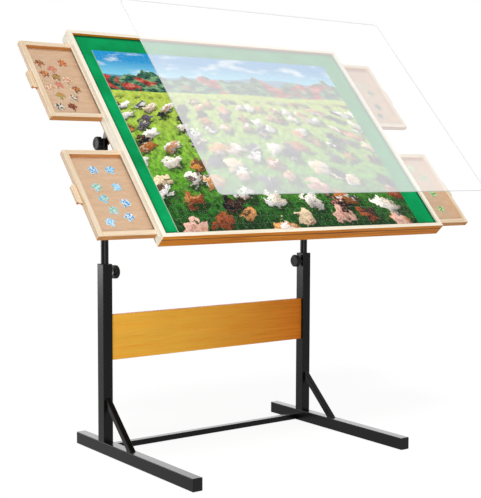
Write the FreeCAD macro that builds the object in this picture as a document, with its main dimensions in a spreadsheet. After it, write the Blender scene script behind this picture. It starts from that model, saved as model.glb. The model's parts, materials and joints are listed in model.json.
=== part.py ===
"""Height- and tilt-adjustable jigsaw table with four sorting drawers.

The steel stand has two feet, two posts and a tie bar.  A tube slides in each post and
ends in a fork.  A V-shaped bracket under the table top swings in each fork.  The table
top is a shallow wooden case: felt board above, drawer bays below.

Frame: +X to the right, +Y to the back, +Z up, millimetres.  The origin lies on the
floor, midway between the feet, on the centre line of the tie bar.
"""
import FreeCAD, Part
import math
import os

import Sketcher

# ---------------------------------------------------------------- driving dimensions
SIZES = {
    # table top: depths are measured from its front edge, drops from its top face
    "table_width": 864,
    "table_depth": 656,
    "rail_width": 11,
    "rim_height": 12,
    "case_height": 22.5,
    "seam_bevel": 1.2,
    "edge_round": 1,
    "recess_depth": 6,
    "felt_thickness": 1,
    "bottom_thickness": 3,
    "guide_width": 18,
    "centre_stop_width": 10,
    # drawers
    "front_bay_inset": 22,
    "rear_bay_inset": 33,
    "between_bays": 104,
    "comb_web": 5,
    "drawer_rail": 13,
    "drawer_floor": 3,
    "drawer_end_gap": 0.5,
    "drawer_side_gap": 0.3,
    "drawer_slide_gap": 0.3,
    "drawer_head_gap": 0.7,
    "front_left_out": 143,
    "rear_left_out": 132,
    "front_right_out": 125,
    "rear_right_out": 126,
    "pull_length": 53,
    "pull_reach": 12,
    "pull_thickness": 7,
    "pull_cove": 4,
    "pull_corner": 5,
    "loose_piece_size": 25,
    "piece_thickness": 2,
    "piece_knob_radius": 3.2,
    # jigsaw laid out on the felt, as margins inside the rim
    "puzzle_left_margin": 36,
    "puzzle_right_margin": 66,
    "puzzle_rear_margin": 53,
    "puzzle_front_margin": 1,
    # clear cover, lifted off the board and held above it
    "cover_end_margin": 8,
    "cover_side_margin": 10,
    "cover_thickness": 2.5,
    "cover_corner": 28,
    "cover_seat_gap": 0.3,
    "cover_right_shift": 43,
    "cover_forward_shift": 33,
    "cover_lift": 154.5,
    # tilt brackets: the pivot lies below the underside of the table top
    "tilt_angle": 47.7,
    "pivot_depth": 455,
    "pivot_drop": 155.5,
    "bracket_plate": 4,
    "bracket_strut": 18,
    "bracket_half_angle": 24,
    "bracket_web": 14,
    "bracket_window_round": 8,
    "flange_width": 34,
    "flange_end": 12,
    # stand
    "post_spacing": 654,
    "post_top": 489,
    "tube_wall": 1.5,
    "tube_corner": 1.5,
    "foot_height": 31,
    "foot_front_reach": 423,
    "foot_rear_reach": 132,
    "foot_cap_plate": 2,
    "foot_cap_insert": 14,
    "tie_bar_depth": 19,
    "tie_bar_height": 15,
    "brace_size": 15,
    "brace_rise": 115,
    "brace_run": 124,
    "crossboard_bottom": 241,
    "crossboard_height": 117,
    "crossboard_thickness": 15,
    "tab_length": 30,
    "tab_height": 22,
    "tab_thickness": 2,
    "tab_inset": 18,
    # telescopic tubes and their forks
    "inner_tube_diameter": 20,
    "inner_tube_bottom": 304,
    "pivot_height": 794,
    "fork_top": 13,
    "fork_root": 13,
    "fork_shank": 30,
    "fork_floor_gap": 4,
    "fork_side_gap": 0.3,
    "fork_crown_bevel": 2,
    "collar_lip": 2,
    "collar_insert": 43,
    "collar_thin_wall": 1.8,
    "collar_thick_wall": 3.8,
    "running_gap": 0.1,
    # clamping knobs
    "knob_diameter": 35,
    "knob_head": 12,
    "knob_hub": 2,
    "knob_hub_diameter": 18,
    "knob_crown": 2.5,
    "knob_dish": 1,
    "knob_flute_radius": 5,
    "knob_flute_depth": 1.6,
    "knob_gap": 0.3,
    "stud_diameter": 8,
    "stud_fit": 0.08,
    "height_knob_drop": 22,
    "nut_width": 15,
    "nut_height": 8.5,
    "tilt_stud_overrun": 3,
    # wood screws
    "screw_head_diameter": 9,
    "screw_head": 2.5,
    "screw_shank_diameter": 4.5,
    "bracket_screw_grip": 13,
    "tab_screw_cover": 4,
    "screw_fit": 0.05,
}
KNOB_FLUTES = 8
# a loose piece's knobs stand out from its sides by this share of their radius
PIECE_KNOB_OFFSET = 0.6
PIECE_KNOB_SIDES = 8

# Loose jigsaw pieces in each drawer: distance in from the drawer's outer end, place across
# its floor from front to back in percent, and turn in degrees.
LOOSE_PIECES = {
    "front_left": [(62, 82, 12), (106, 82, 70), (53, 59, 35), (102, 59, 8), (58, 44, 55),
                   (107, 38, 20), (70, 29, 80), (101, 20, 40), (49, 14, 65)],
    "rear_left": [(34, 76, 30), (95, 78, 5), (61, 68, 50), (35, 60, 15), (64, 56, 75),
                  (89, 52, 40), (60, 44, 10), (34, 40, 60), (101, 38, 25), (53, 28, 45),
                  (86, 25, 70), (38, 12, 20), (71, 12, 55)],
    "front_right": [(76, 84, 25), (51, 68, 60), (55, 43, 10), (61, 18, 40)],
    "rear_right": [(74, 69, 15), (50, 57, 50), (56, 32, 30), (68, 16, 65)],
}

# ---------------------------------------------------------------- derived expressions
DROP = "(Sizes.rim_height + Sizes.case_height)"
PANEL_TOP = "(Sizes.recess_depth + Sizes.felt_thickness)"
BOARD_THICKNESS = "(Sizes.rim_height - %s)" % PANEL_TOP
BAY_FLOOR = "(-%s + Sizes.bottom_thickness)" % DROP
BAY_HEIGHT = "(Sizes.case_height - Sizes.bottom_thickness)"
DRAWER_BOTTOM = "(%s + Sizes.drawer_slide_gap)" % BAY_FLOOR
NOTCH_TOP = "(-Sizes.rim_height - Sizes.comb_web)"
DRAWER_HEIGHT = "(%s - Sizes.drawer_head_gap - %s)" % (NOTCH_TOP, DRAWER_BOTTOM)
DRAWER_WIDTH = ("((Sizes.table_depth - Sizes.front_bay_inset - Sizes.rear_bay_inset"
                " - Sizes.between_bays) / 2)")
DRAWER_STARTS = {
    "front": "Sizes.front_bay_inset",
    "rear": "(Sizes.table_depth - Sizes.rear_bay_inset - %s)" % DRAWER_WIDTH,
}
BAY_FRONTS = {row: "(%s - Sizes.drawer_side_gap)" % start for row, start in DRAWER_STARTS.items()}
BAY_BACKS = {row: "(%s + %s + Sizes.drawer_side_gap)" % (start, DRAWER_WIDTH)
             for row, start in DRAWER_STARTS.items()}
DRAWER_LENGTH = "((Sizes.table_width - Sizes.centre_stop_width) / 2 - Sizes.drawer_end_gap)"
INNER_HALF = "(Sizes.table_width / 2 - Sizes.rail_width)"
INNER_BACK = "(Sizes.table_depth - Sizes.rail_width)"
PIVOT_DROP = "(%s + Sizes.pivot_drop)" % DROP
COLLAR_INSET = "(Sizes.tube_wall + Sizes.running_gap)"
HALF_BORE = "(Sizes.inner_tube_diameter / 2 + Sizes.running_gap)"
HALF_WIDTH = "(%s + Sizes.collar_thin_wall + %s)" % (HALF_BORE, COLLAR_INSET)
HALF_DEPTH = "(%s + Sizes.collar_thick_wall + %s)" % (HALF_BORE, COLLAR_INSET)
POST_Y = "(-Sizes.tie_bar_depth / 2 - %s)" % HALF_DEPTH
POST_FRONT = "(%s - %s)" % (POST_Y, HALF_DEPTH)
POST_X = "(Sizes.post_spacing / 2)"
POST_INNER = "(%s - %s)" % (POST_X, HALF_WIDTH)
SLOT_FLOOR = "(Sizes.bracket_strut / 2 + Sizes.fork_floor_gap)"
FORK_SHOULDER = "(%s + Sizes.fork_root)" % SLOT_FLOOR
FORK_SLOT = "(Sizes.bracket_plate + 2 * Sizes.fork_side_gap)"
NUT_FACE = "(%s - Sizes.nut_height)" % POST_INNER
KNOB_HEIGHT = "(Sizes.post_top - Sizes.height_knob_drop)"
STUD_HOLE = "(Sizes.stud_diameter / 2 + Sizes.stud_fit)"
SCREW_HOLE = "(Sizes.screw_shank_diameter / 2 + Sizes.screw_fit)"
TAB_SCREW_GRIP = "(Sizes.crossboard_thickness - Sizes.tab_screw_cover)"
BACK_OF_CROSSBOARD = "(%s + Sizes.crossboard_thickness / 2)" % POST_Y
# centre of each guide strip that a bracket screw enters
SCREWED_GUIDES = (
    "(%s + Sizes.guide_width / 2)" % BAY_BACKS["front"],
    "(%s - Sizes.guide_width / 2)" % BAY_FRONTS["rear"],
    "((%s + %s) / 2)" % (BAY_BACKS["rear"], INNER_BACK),
)

# two places or directions nearer than this count as the same
FLUSH = 1e-3
SIDES = (("left", -1), ("right", 1))
ROWS = ("front", "rear")

doc = FreeCAD.newDocument("jigsaw_table")
sheet = doc.addObject("Spreadsheet::Sheet", "Sizes")
for row, (alias, number) in enumerate(SIZES.items(), start=1):
    sheet.set("A%d" % row, alias)
    sheet.set("B%d" % row, str(number))
    sheet.setAlias("B%d" % row, alias)
doc.recompute()

nodes = []


# ---------------------------------------------------------------- sketch helpers
def origin_plane(body, role):
    """The body's own origin plane with this role."""
    for feature in body.Origin.OriginFeatures:
        if feature.Role == role:
            return feature
    raise ValueError(role)


def new_body(label, on_table=False):
    """An empty body; one on the table top shares the top's tilted placement."""
    body = doc.addObject("PartDesign::Body", label)
    body.Label = label
    if on_table:
        tilt_with_table(body)
    return body


def tilt_with_table(item):
    """Put the local origin on the top's front edge and turn it about the pivot."""
    item.Placement = FreeCAD.Placement(FreeCAD.Vector(), FreeCAD.Rotation(FreeCAD.Vector(1, 0, 0), 10))
    item.setExpression("Placement.Rotation.Angle", "Sizes.tilt_angle")
    along = "Sizes.pivot_depth * cos(Sizes.tilt_angle) + %s * sin(Sizes.tilt_angle)" % PIVOT_DROP
    rise = "Sizes.pivot_depth * sin(Sizes.tilt_angle) - %s * cos(Sizes.tilt_angle)" % PIVOT_DROP
    item.setExpression("Placement.Base.y", "%s - (%s)" % (POST_Y, along))
    item.setExpression("Placement.Base.z", "Sizes.pivot_height - (%s)" % rise)


def new_sketch(body, plane, place):
    """A sketch on an origin plane, moved along that plane's axis to the place."""
    sketch = body.newObject("Sketcher::SketchObject", body.Name + "_sketch")
    sketch.AttachmentSupport = [(origin_plane(body, plane), "")]
    sketch.MapMode = "FlatFace"
    sign = "-1 * " if plane == "XZ_Plane" else ""
    sketch.setExpression("AttachmentOffset.Base.z", "%s(%s)" % (sign, place))
    return sketch


def add_outline(sketch, corners):
    """A closed polygon whose corner coordinates are bound to the sheet."""
    first = sketch.GeometryCount
    count = len(corners)
    start = [FreeCAD.Vector(10 * math.cos(2 * math.pi * k / count), 10 * math.sin(2 * math.pi * k / count), 0)
             for k in range(count)]
    for k in range(count):
        sketch.addGeometry(Part.LineSegment(start[k], start[(k + 1) % count]), False)
    for k in range(count):
        following = first + (k + 1) % count
        sketch.addConstraint(Sketcher.Constraint("Coincident", first + k, 2, following, 1))
    for k, (across, up) in enumerate(corners):
        for kind, where in (("DistanceX", across), ("DistanceY", up)):
            number = sketch.addConstraint(Sketcher.Constraint(kind, -1, 1, first + k, 1, 1.0))
            sketch.setExpression("Constraints[%d]" % number, where)


def add_circle(sketch, across, up, radius):
    """A circle with its centre and radius bound to the sheet."""
    index = sketch.addGeometry(Part.Circle(FreeCAD.Vector(1, 1, 0), FreeCAD.Vector(0, 0, 1), 1), False)
    for kind, where in (("DistanceX", across), ("DistanceY", up)):
        number = sketch.addConstraint(Sketcher.Constraint(kind, -1, 1, index, 3, 1.0))
        sketch.setExpression("Constraints[%d]" % number, where)
    number = sketch.addConstraint(Sketcher.Constraint("Radius", index, 1.0))
    sketch.setExpression("Constraints[%d]" % number, radius)


def draw(sketch, shapes):
    """Draw a list of shapes: three strings make a circle, anything else an outline."""
    for shape in shapes:
        if isinstance(shape[0], str):
            add_circle(sketch, *shape)
        else:
            add_outline(sketch, shape)


def rectangle(low_x, high_x, low_y, high_y):
    """Corners of a rectangle, as expressions."""
    return [(low_x, low_y), (high_x, low_y), (high_x, high_y), (low_x, high_y)]


def pad(body, plane, shapes, start, length):
    """Extrude the shapes from start, along the plane's axis, by length."""
    sketch = new_sketch(body, plane, start)
    draw(sketch, shapes)
    feature = body.newObject("PartDesign::Pad", body.Name + "_pad")
    feature.Profile = sketch
    feature.setExpression("Length", length)
    feature.Reversed = plane == "XZ_Plane"
    return feature


def cut(body, plane, shapes, middle, depth):
    """Remove the shapes to half the depth on each side of the middle plane."""
    doc.recompute()
    before = body.Shape.Volume
    sketch = new_sketch(body, plane, middle)
    draw(sketch, shapes)
    feature = body.newObject("PartDesign::Pocket", body.Name + "_cut")
    feature.Profile = sketch
    feature.Midplane = True
    feature.setExpression("Length", depth)
    doc.recompute()
    if body.Shape.Volume >= before:
        raise ValueError("a cut in %s removed nothing" % body.Label)
    return feature


def dress(body, kind, size_name, radius, chosen):
    """Fillet or chamfer the edges of the body's tip that the chosen test accepts."""
    doc.recompute()
    tip = body.Tip
    names = ["Edge%d" % (k + 1) for k, edge in enumerate(tip.Shape.Edges) if chosen(edge)]
    feature = body.newObject("PartDesign::" + kind, body.Name + "_" + kind.lower())
    feature.Base = (tip, names)
    feature.setExpression(size_name, radius)
    return feature


def fillet(body, radius, chosen):
    return dress(body, "Fillet", "Radius", radius, chosen)


def chamfer(body, width, chosen):
    return dress(body, "Chamfer", "Size", width, chosen)


def value(alias):
    """A driving dimension as a number."""
    return float(sheet.get(alias))


def runs_along(edge, axis):
    """True for a straight edge parallel to X (0), Y (1) or Z (2)."""
    if len(edge.Vertexes) != 2 or not isinstance(edge.Curve, Part.Line):
        return False
    return abs(abs(edge.Curve.Direction[axis]) - 1) < FLUSH


def lies_at(edge, axis, place):
    """True where the middle of the edge has this coordinate."""
    return abs(edge.CenterOfMass[axis] - place) < FLUSH


def keep(item, label=None):
    """Record a document object as a finished sub-part."""
    if label:
        item.Label = label
    nodes.append(item)
    return item


def group(label, members):
    """Several equal pieces kept in one node as separate solids."""
    compound = doc.addObject("Part::Compound", label)
    compound.Links = members
    return keep(compound, label)


# ---------------------------------------------------------------- stand
def post_section(side, inset):
    """Plan of the post, or of what fits this far inside its outer faces."""
    centre = "%d * %s" % (side, POST_X)
    half_width = "(%s - %s)" % (HALF_WIDTH, inset)
    half_depth = "(%s - %s)" % (HALF_DEPTH, inset)
    return rectangle("%s - %s" % (centre, half_width), "%s + %s" % (centre, half_width),
                     "%s - %s" % (POST_Y, half_depth), "%s + %s" % (POST_Y, half_depth))


def foot_section(side, inset):
    """Upright section of the foot, as wide as the post, or of what fits inside it."""
    centre = "%d * %s" % (side, POST_X)
    half_width = "(%s - %s)" % (HALF_WIDTH, inset)
    return rectangle("%s - %s" % (centre, half_width), "%s + %s" % (centre, half_width),
                     inset, "Sizes.foot_height - " + inset)


def round_corners(body, run):
    """Round the four outer edges of a tube, or of what closes it, that runs along one axis."""
    doc.recompute()
    box = body.Tip.Shape.BoundBox
    limits = ((box.XMin, box.XMax), (box.YMin, box.YMax), (box.ZMin, box.ZMax))

    def is_outer(edge):
        """True for an edge along the run that lies on two outer faces."""
        across = [axis for axis in (0, 1, 2) if axis != run]
        return runs_along(edge, run) and all(
            any(lies_at(edge, axis, limit) for limit in limits[axis]) for axis in across)

    fillet(body, "Sizes.tube_corner", is_outer)


def foot(side_name, side):
    """Rectangular floor tube, open at both ends for its caps."""
    body = new_body(side_name + "_foot")
    start = "%s - Sizes.foot_front_reach + Sizes.foot_cap_plate" % POST_Y
    length = "Sizes.foot_front_reach + Sizes.foot_rear_reach - 2 * Sizes.foot_cap_plate"
    pad(body, "XZ_Plane", [foot_section(side, "0"), foot_section(side, "Sizes.tube_wall")], start, length)
    round_corners(body, 1)
    keep(body)


def foot_cap(side, end):
    """Plastic end cap: a plate over the tube's end and a block inside it."""
    body = new_body("foot_cap_%d_%d" % (side + 1, end + 1))
    if end < 0:
        plate_start = "%s - Sizes.foot_front_reach" % POST_Y
        block_start = plate_start + " + Sizes.foot_cap_plate"
    else:
        plate_start = "%s + Sizes.foot_rear_reach - Sizes.foot_cap_plate" % POST_Y
        block_start = plate_start + " - Sizes.foot_cap_insert"
    pad(body, "XZ_Plane", [foot_section(side, "0")], plate_start, "Sizes.foot_cap_plate")
    round_corners(body, 1)
    pad(body, "XZ_Plane", [foot_section(side, COLLAR_INSET)], block_start, "Sizes.foot_cap_insert")
    return body


def post(side_name, side):
    """Rectangular upright tube with a stud hole in its inner wall."""
    body = new_body(side_name + "_post")
    pad(body, "XY_Plane", [post_section(side, "0"), post_section(side, "Sizes.tube_wall")],
        "Sizes.foot_height", "Sizes.post_top - Sizes.collar_lip - Sizes.foot_height")
    round_corners(body, 2)
    cut(body, "YZ_Plane", [(POST_Y, KNOB_HEIGHT, STUD_HOLE)],
        "%d * (%s + Sizes.tube_wall / 2)" % (side, POST_INNER), "3 * Sizes.tube_wall")
    keep(body)


def post_collar(side):
    """Plastic bushing that closes the post and guides the round tube."""
    body = new_body("post_collar_%d" % (side + 1))
    bore = ("%d * %s" % (side, POST_X), POST_Y, HALF_BORE)
    pad(body, "XY_Plane", [post_section(side, "0"), bore], "Sizes.post_top - Sizes.collar_lip",
        "Sizes.collar_lip")
    round_corners(body, 2)
    pad(body, "XY_Plane", [post_section(side, COLLAR_INSET), bore],
        "Sizes.post_top - Sizes.collar_lip - Sizes.collar_insert", "Sizes.collar_insert")
    inner_side = "%d * (%s - Sizes.inner_tube_diameter / 2)" % (side, POST_X)
    cut(body, "YZ_Plane", [(POST_Y, KNOB_HEIGHT, STUD_HOLE)], inner_side, "Sizes.inner_tube_diameter / 2")
    return body


def brace(side_name, side):
    """Sloping square tube from the post's front face down to the foot."""
    body = new_body(side_name + "_brace")
    slant = "sqrt(Sizes.brace_rise * Sizes.brace_rise + Sizes.brace_run * Sizes.brace_run)"

    def band(low, high):
        """Four corners of the strip between two distances below the outer face."""
        corners = []
        for below in (low, high):
            up = "Sizes.foot_height + Sizes.brace_rise - (%s) * %s / Sizes.brace_run" % (below, slant)
            corners.append((POST_FRONT, up))
        for below in (high, low):
            along = "%s - Sizes.brace_run + (%s) * %s / Sizes.brace_rise" % (POST_FRONT, below, slant)
            corners.append((along, "Sizes.foot_height"))
        return corners

    centre = "%d * %s" % (side, POST_X)
    pad(body, "YZ_Plane", [band("0", "Sizes.brace_size")], centre + " - Sizes.brace_size / 2",
        "Sizes.brace_size")
    cut(body, "YZ_Plane", [band("Sizes.tube_wall", "Sizes.brace_size - Sizes.tube_wall")], centre,
        "Sizes.brace_size - 2 * Sizes.tube_wall")
    half = value("brace_size") / 2
    middle = side * value("post_spacing") / 2
    fillet(body, "Sizes.tube_corner", lambda edge: (
        abs(abs(edge.CenterOfMass.x - middle) - half) < FLUSH
        and not runs_along(edge, 1) and not runs_along(edge, 2)))
    keep(body)


def tie_bar():
    """Flat tube on the floor that joins the feet behind the posts."""
    body = new_body("tie_bar")
    half = "Sizes.tie_bar_depth / 2"
    outer = rectangle("-%s" % half, half, "0", "Sizes.tie_bar_height")
    inner = rectangle("-%s + Sizes.tube_wall" % half, "%s - Sizes.tube_wall" % half,
                      "Sizes.tube_wall", "Sizes.tie_bar_height - Sizes.tube_wall")
    pad(body, "YZ_Plane", [outer, inner], "-" + POST_INNER, "2 * " + POST_INNER)
    round_corners(body, 0)
    keep(body)


def tab_places():
    """Side sign, centre along X and height of each crossboard tab."""
    for side in (-1, 1):
        along = "%d * (%s - Sizes.tab_length / 2)" % (side, POST_INNER)
        for up in ("Sizes.crossboard_bottom + Sizes.tab_inset + Sizes.tab_height / 2",
                   "Sizes.crossboard_bottom + Sizes.crossboard_height - Sizes.tab_inset"
                   " - Sizes.tab_height / 2"):
            yield side, along, up


def crossboard():
    """Wooden board between the posts, drilled from behind for its tab screws."""
    body = new_body("crossboard")
    outline = rectangle("-" + POST_INNER, POST_INNER, "Sizes.crossboard_bottom",
                        "Sizes.crossboard_bottom + Sizes.crossboard_height")
    pad(body, "XZ_Plane", [outline], POST_Y + " - Sizes.crossboard_thickness / 2",
        "Sizes.crossboard_thickness")
    holes = [(along, up, SCREW_HOLE) for side, along, up in tab_places()]
    cut(body, "XZ_Plane", holes, BACK_OF_CROSSBOARD, "2 * (%s + Sizes.screw_fit)" % TAB_SCREW_GRIP)
    fillet(body, "Sizes.edge_round", lambda edge: runs_along(edge, 0))
    keep(body)


def crossboard_fixings():
    """Steel tabs welded to the posts' inner faces, and the screws through them."""
    tabs = []
    screws = []
    for number, (side, along, up) in enumerate(tab_places()):
        tab = new_body("crossboard_tab_%d" % number)
        outline = rectangle(along + " - Sizes.tab_length / 2", along + " + Sizes.tab_length / 2",
                            up + " - Sizes.tab_height / 2", up + " + Sizes.tab_height / 2")
        pad(tab, "XZ_Plane", [outline, (along, up, SCREW_HOLE)], BACK_OF_CROSSBOARD,
            "Sizes.tab_thickness")
        tabs.append(tab)
        screw = new_body("crossboard_screw_%d" % number)
        seat = BACK_OF_CROSSBOARD + " + Sizes.tab_thickness"
        pad(screw, "XZ_Plane", [(along, up, "Sizes.screw_head_diameter / 2")], seat, "Sizes.screw_head")
        pad(screw, "XZ_Plane", [(along, up, "Sizes.screw_shank_diameter / 2")],
            "%s - %s" % (BACK_OF_CROSSBOARD, TAB_SCREW_GRIP), TAB_SCREW_GRIP + " + Sizes.tab_thickness")
        screws.append(screw)
    group("crossboard_tabs", tabs)
    group("crossboard_screws", screws)


def height_nut(side):
    """Hexagon nut welded over the stud hole in the post."""
    body = new_body("height_nut_%d" % (side + 1))
    corner = "Sizes.nut_width / sqrt(3)"
    hexagon = []
    for turn in range(0, 360, 60):
        hexagon.append(("%s + %s * cos(%d)" % (POST_Y, corner, turn),
                        "%s + %s * sin(%d)" % (KNOB_HEIGHT, corner, turn)))
    start = "-" + POST_INNER if side < 0 else NUT_FACE
    pad(body, "YZ_Plane", [hexagon, (POST_Y, KNOB_HEIGHT, STUD_HOLE)], start, "Sizes.nut_height")
    return body


# ---------------------------------------------------------------- telescopic tubes
def inner_tube(side_name, side):
    """Round tube that slides in the post's collar and carries the fork."""
    body = new_body(side_name + "_inner_tube")
    centre = "%d * %s" % (side, POST_X)
    outer = (centre, POST_Y, "Sizes.inner_tube_diameter / 2")
    inner = (centre, POST_Y, "Sizes.inner_tube_diameter / 2 - Sizes.tube_wall")
    pad(body, "XY_Plane", [outer, inner], "Sizes.inner_tube_bottom",
        "Sizes.pivot_height - %s - Sizes.inner_tube_bottom" % FORK_SHOULDER)
    keep(body)


def pivot_fork(side):
    """Fork end on the tube: the table bracket swings in its slot."""
    body = new_body("pivot_fork_%d" % (side + 1))
    centre = "%d * %s" % (side, POST_X)
    shoulder = "Sizes.pivot_height - %s" % FORK_SHOULDER
    shank = (centre, POST_Y, "Sizes.inner_tube_diameter / 2 - Sizes.tube_wall - Sizes.running_gap")
    head = (centre, POST_Y, "Sizes.inner_tube_diameter / 2")
    pad(body, "XY_Plane", [head], shoulder, FORK_SHOULDER + " + Sizes.fork_top")
    crown = value("pivot_height") + value("fork_top")
    chamfer(body, "Sizes.fork_crown_bevel", lambda edge: lies_at(edge, 2, crown))
    pad(body, "XY_Plane", [shank], shoulder + " - Sizes.fork_shank", "Sizes.fork_shank")
    top = "Sizes.pivot_height + 2 * Sizes.fork_top"
    slot = rectangle(centre + " - %s / 2" % FORK_SLOT, centre + " + %s / 2" % FORK_SLOT,
                     "Sizes.pivot_height - " + SLOT_FLOOR, top)
    cut(body, "XZ_Plane", [slot], POST_Y, "2 * Sizes.inner_tube_diameter")
    cut(body, "YZ_Plane", [(POST_Y, "Sizes.pivot_height", STUD_HOLE)], centre,
        "2 * Sizes.inner_tube_diameter")
    return body


# ---------------------------------------------------------------- clamping knobs
def knob(label, along, up, outward, stud_length):
    """Fluted plastic knob on a steel stud; its own axis is local Z, outward."""
    body = new_body(label)
    hub = "Sizes.knob_hub_diameter / 2"
    rim = "Sizes.knob_diameter / 2"
    face = "Sizes.knob_hub + Sizes.knob_head"
    profile = [
        ("0", "-(%s)" % stud_length),
        ("Sizes.stud_diameter / 2", "-(%s)" % stud_length),
        ("Sizes.stud_diameter / 2", "0"),
        (hub, "0"),
        (hub, "Sizes.knob_hub"),
        (rim, "Sizes.knob_hub"),
        (rim, face + " - Sizes.knob_crown"),
        (rim + " - Sizes.knob_crown", face),
        (hub, face),
        (hub + " - Sizes.knob_dish", face + " - Sizes.knob_dish"),
        ("0", face + " - Sizes.knob_dish"),
    ]
    sketch = new_sketch(body, "XZ_Plane", "0")
    add_outline(sketch, profile)
    turned = body.newObject("PartDesign::Revolution", body.Name + "_turned")
    turned.Profile = sketch
    turned.ReferenceAxis = (sketch, ["V_Axis"])
    turned.Angle = 360
    reach = "%s + Sizes.knob_flute_radius - Sizes.knob_flute_depth" % rim
    flute = cut(body, "XY_Plane", [(reach, "0", "Sizes.knob_flute_radius")],
                "Sizes.knob_hub + Sizes.knob_head / 2", "2 * Sizes.knob_head")
    ring = body.newObject("PartDesign::PolarPattern", body.Name + "_flutes")
    ring.Originals = [flute]
    ring.Axis = (sketch, ["V_Axis"])
    ring.Angle = 360
    ring.Occurrences = KNOB_FLUTES
    body.Tip = ring
    turn = FreeCAD.Rotation(FreeCAD.Vector(0, 1, 0), 90 * outward)
    body.Placement = FreeCAD.Placement(FreeCAD.Vector(), turn)
    body.setExpression("Placement.Base.x", along)
    body.setExpression("Placement.Base.y", POST_Y)
    body.setExpression("Placement.Base.z", up)
    keep(body)


def knobs():
    """Height knobs face each other between the posts; tilt knobs face outwards."""
    to_tube = "%s - Sizes.inner_tube_diameter / 2 - %s" % (POST_X, POST_INNER)
    height_stud = "Sizes.nut_height + %s" % to_tube
    tilt_stud = "Sizes.knob_gap + Sizes.inner_tube_diameter + Sizes.tilt_stud_overrun"
    for side_name, side in SIDES:
        knob(side_name + "_height_knob", "%d * (%s - Sizes.knob_gap)" % (side, NUT_FACE),
             KNOB_HEIGHT, -side, height_stud)
        seat = "%d * (%s + Sizes.inner_tube_diameter / 2 + Sizes.knob_gap)" % (side, POST_X)
        knob(side_name + "_tilt_knob", seat, "Sizes.pivot_height", side, tilt_stud)


# ---------------------------------------------------------------- table top
def slab(label, outline, start, thickness):
    """A flat piece of the table top, standing on its local XY plane."""
    body = new_body(label, on_table=True)
    pad(body, "XY_Plane", outline, start, thickness)
    return body


def rims():
    """Four mitred rim strips around the felt board."""
    half = "Sizes.table_width / 2"
    inner = INNER_HALF
    back = "Sizes.table_depth"
    plans = {
        "rim_front": [("-" + half, "0"), (half, "0"), (inner, "Sizes.rail_width"),
                      ("-" + inner, "Sizes.rail_width")],
        "rim_rear": [("-" + half, back), ("-" + inner, INNER_BACK), (inner, INNER_BACK), (half, back)],
        "rim_left": [("-" + half, "0"), ("-" + inner, "Sizes.rail_width"), ("-" + inner, INNER_BACK),
                     ("-" + half, back)],
        "rim_right": [(half, "0"), (half, back), (inner, INNER_BACK), (inner, "Sizes.rail_width")],
    }
    # axis across each outer face, the face's place on it, and the axis the strip runs along
    outer_faces = {
        "rim_front": (1, 0, 0),
        "rim_rear": (1, value("table_depth"), 0),
        "rim_left": (0, -value("table_width") / 2, 1),
        "rim_right": (0, value("table_width") / 2, 1),
    }
    for label, plan in plans.items():
        body = slab(label, [plan], "-Sizes.rim_height", "Sizes.rim_height")
        axis, place, run = outer_faces[label]
        chamfer(body, "Sizes.seam_bevel", lambda edge: (
            runs_along(edge, run) and lies_at(edge, axis, place) and lies_at(edge, 2, -value("rim_height"))))
        fillet(body, "Sizes.edge_round", lambda edge: runs_along(edge, run) and lies_at(edge, 2, 0))
        keep(body)


def boards():
    """Felt, its board and the underside panel that the drawers slide on."""
    inside = rectangle("-" + INNER_HALF, INNER_HALF, "Sizes.rail_width", INNER_BACK)
    keep(slab("felt_surface", [inside], "-" + PANEL_TOP, "Sizes.felt_thickness"))
    keep(slab("top_board", [inside], "-Sizes.rim_height", BOARD_THICKNESS))
    floor = [rectangle("-Sizes.table_width / 2", "Sizes.table_width / 2", "Sizes.rail_width", INNER_BACK)]
    floor += [(along, depth, SCREW_HOLE) for along, depth in bracket_screw_places()]
    keep(slab("bottom_panel", floor, "-" + DROP, "Sizes.bottom_thickness"))


def long_cases():
    """Front and rear walls of the drawer case, bevelled at the seam under the rim."""
    for label, low, high, face in (("case_front", "0", "Sizes.rail_width", 0),
                                   ("case_rear", INNER_BACK, "Sizes.table_depth", value("table_depth"))):
        plan = rectangle("-Sizes.table_width / 2", "Sizes.table_width / 2", low, high)
        body = slab(label, [plan], "-" + DROP, "Sizes.case_height")
        chamfer(body, "Sizes.seam_bevel", lambda edge: (
            runs_along(edge, 0) and lies_at(edge, 1, face) and lies_at(edge, 2, -value("rim_height"))))
        fillet(body, "Sizes.edge_round", lambda edge: (
            runs_along(edge, 0) and lies_at(edge, 1, face)
            and lies_at(edge, 2, -value("rim_height") - value("case_height"))))
        keep(body)


def side_case(side_name, side):
    """Side wall of the drawer case: a comb with a notch for each drawer."""
    body = new_body("case_" + side_name, on_table=True)
    corners = [("Sizes.rail_width", "-Sizes.rim_height"), (INNER_BACK, "-Sizes.rim_height"),
               (INNER_BACK, BAY_FLOOR)]
    for row_name in reversed(ROWS):
        corners += [(BAY_BACKS[row_name], BAY_FLOOR), (BAY_BACKS[row_name], NOTCH_TOP),
                    (BAY_FRONTS[row_name], NOTCH_TOP), (BAY_FRONTS[row_name], BAY_FLOOR)]
    corners.append(("Sizes.rail_width", BAY_FLOOR))
    start = "-Sizes.table_width / 2" if side < 0 else INNER_HALF
    pad(body, "YZ_Plane", [corners], start, "Sizes.rail_width")
    outer = side * value("table_width") / 2
    chamfer(body, "Sizes.seam_bevel", lambda edge: (
        runs_along(edge, 1) and lies_at(edge, 0, outer) and lies_at(edge, 2, -value("rim_height"))))
    keep(body)


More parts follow.
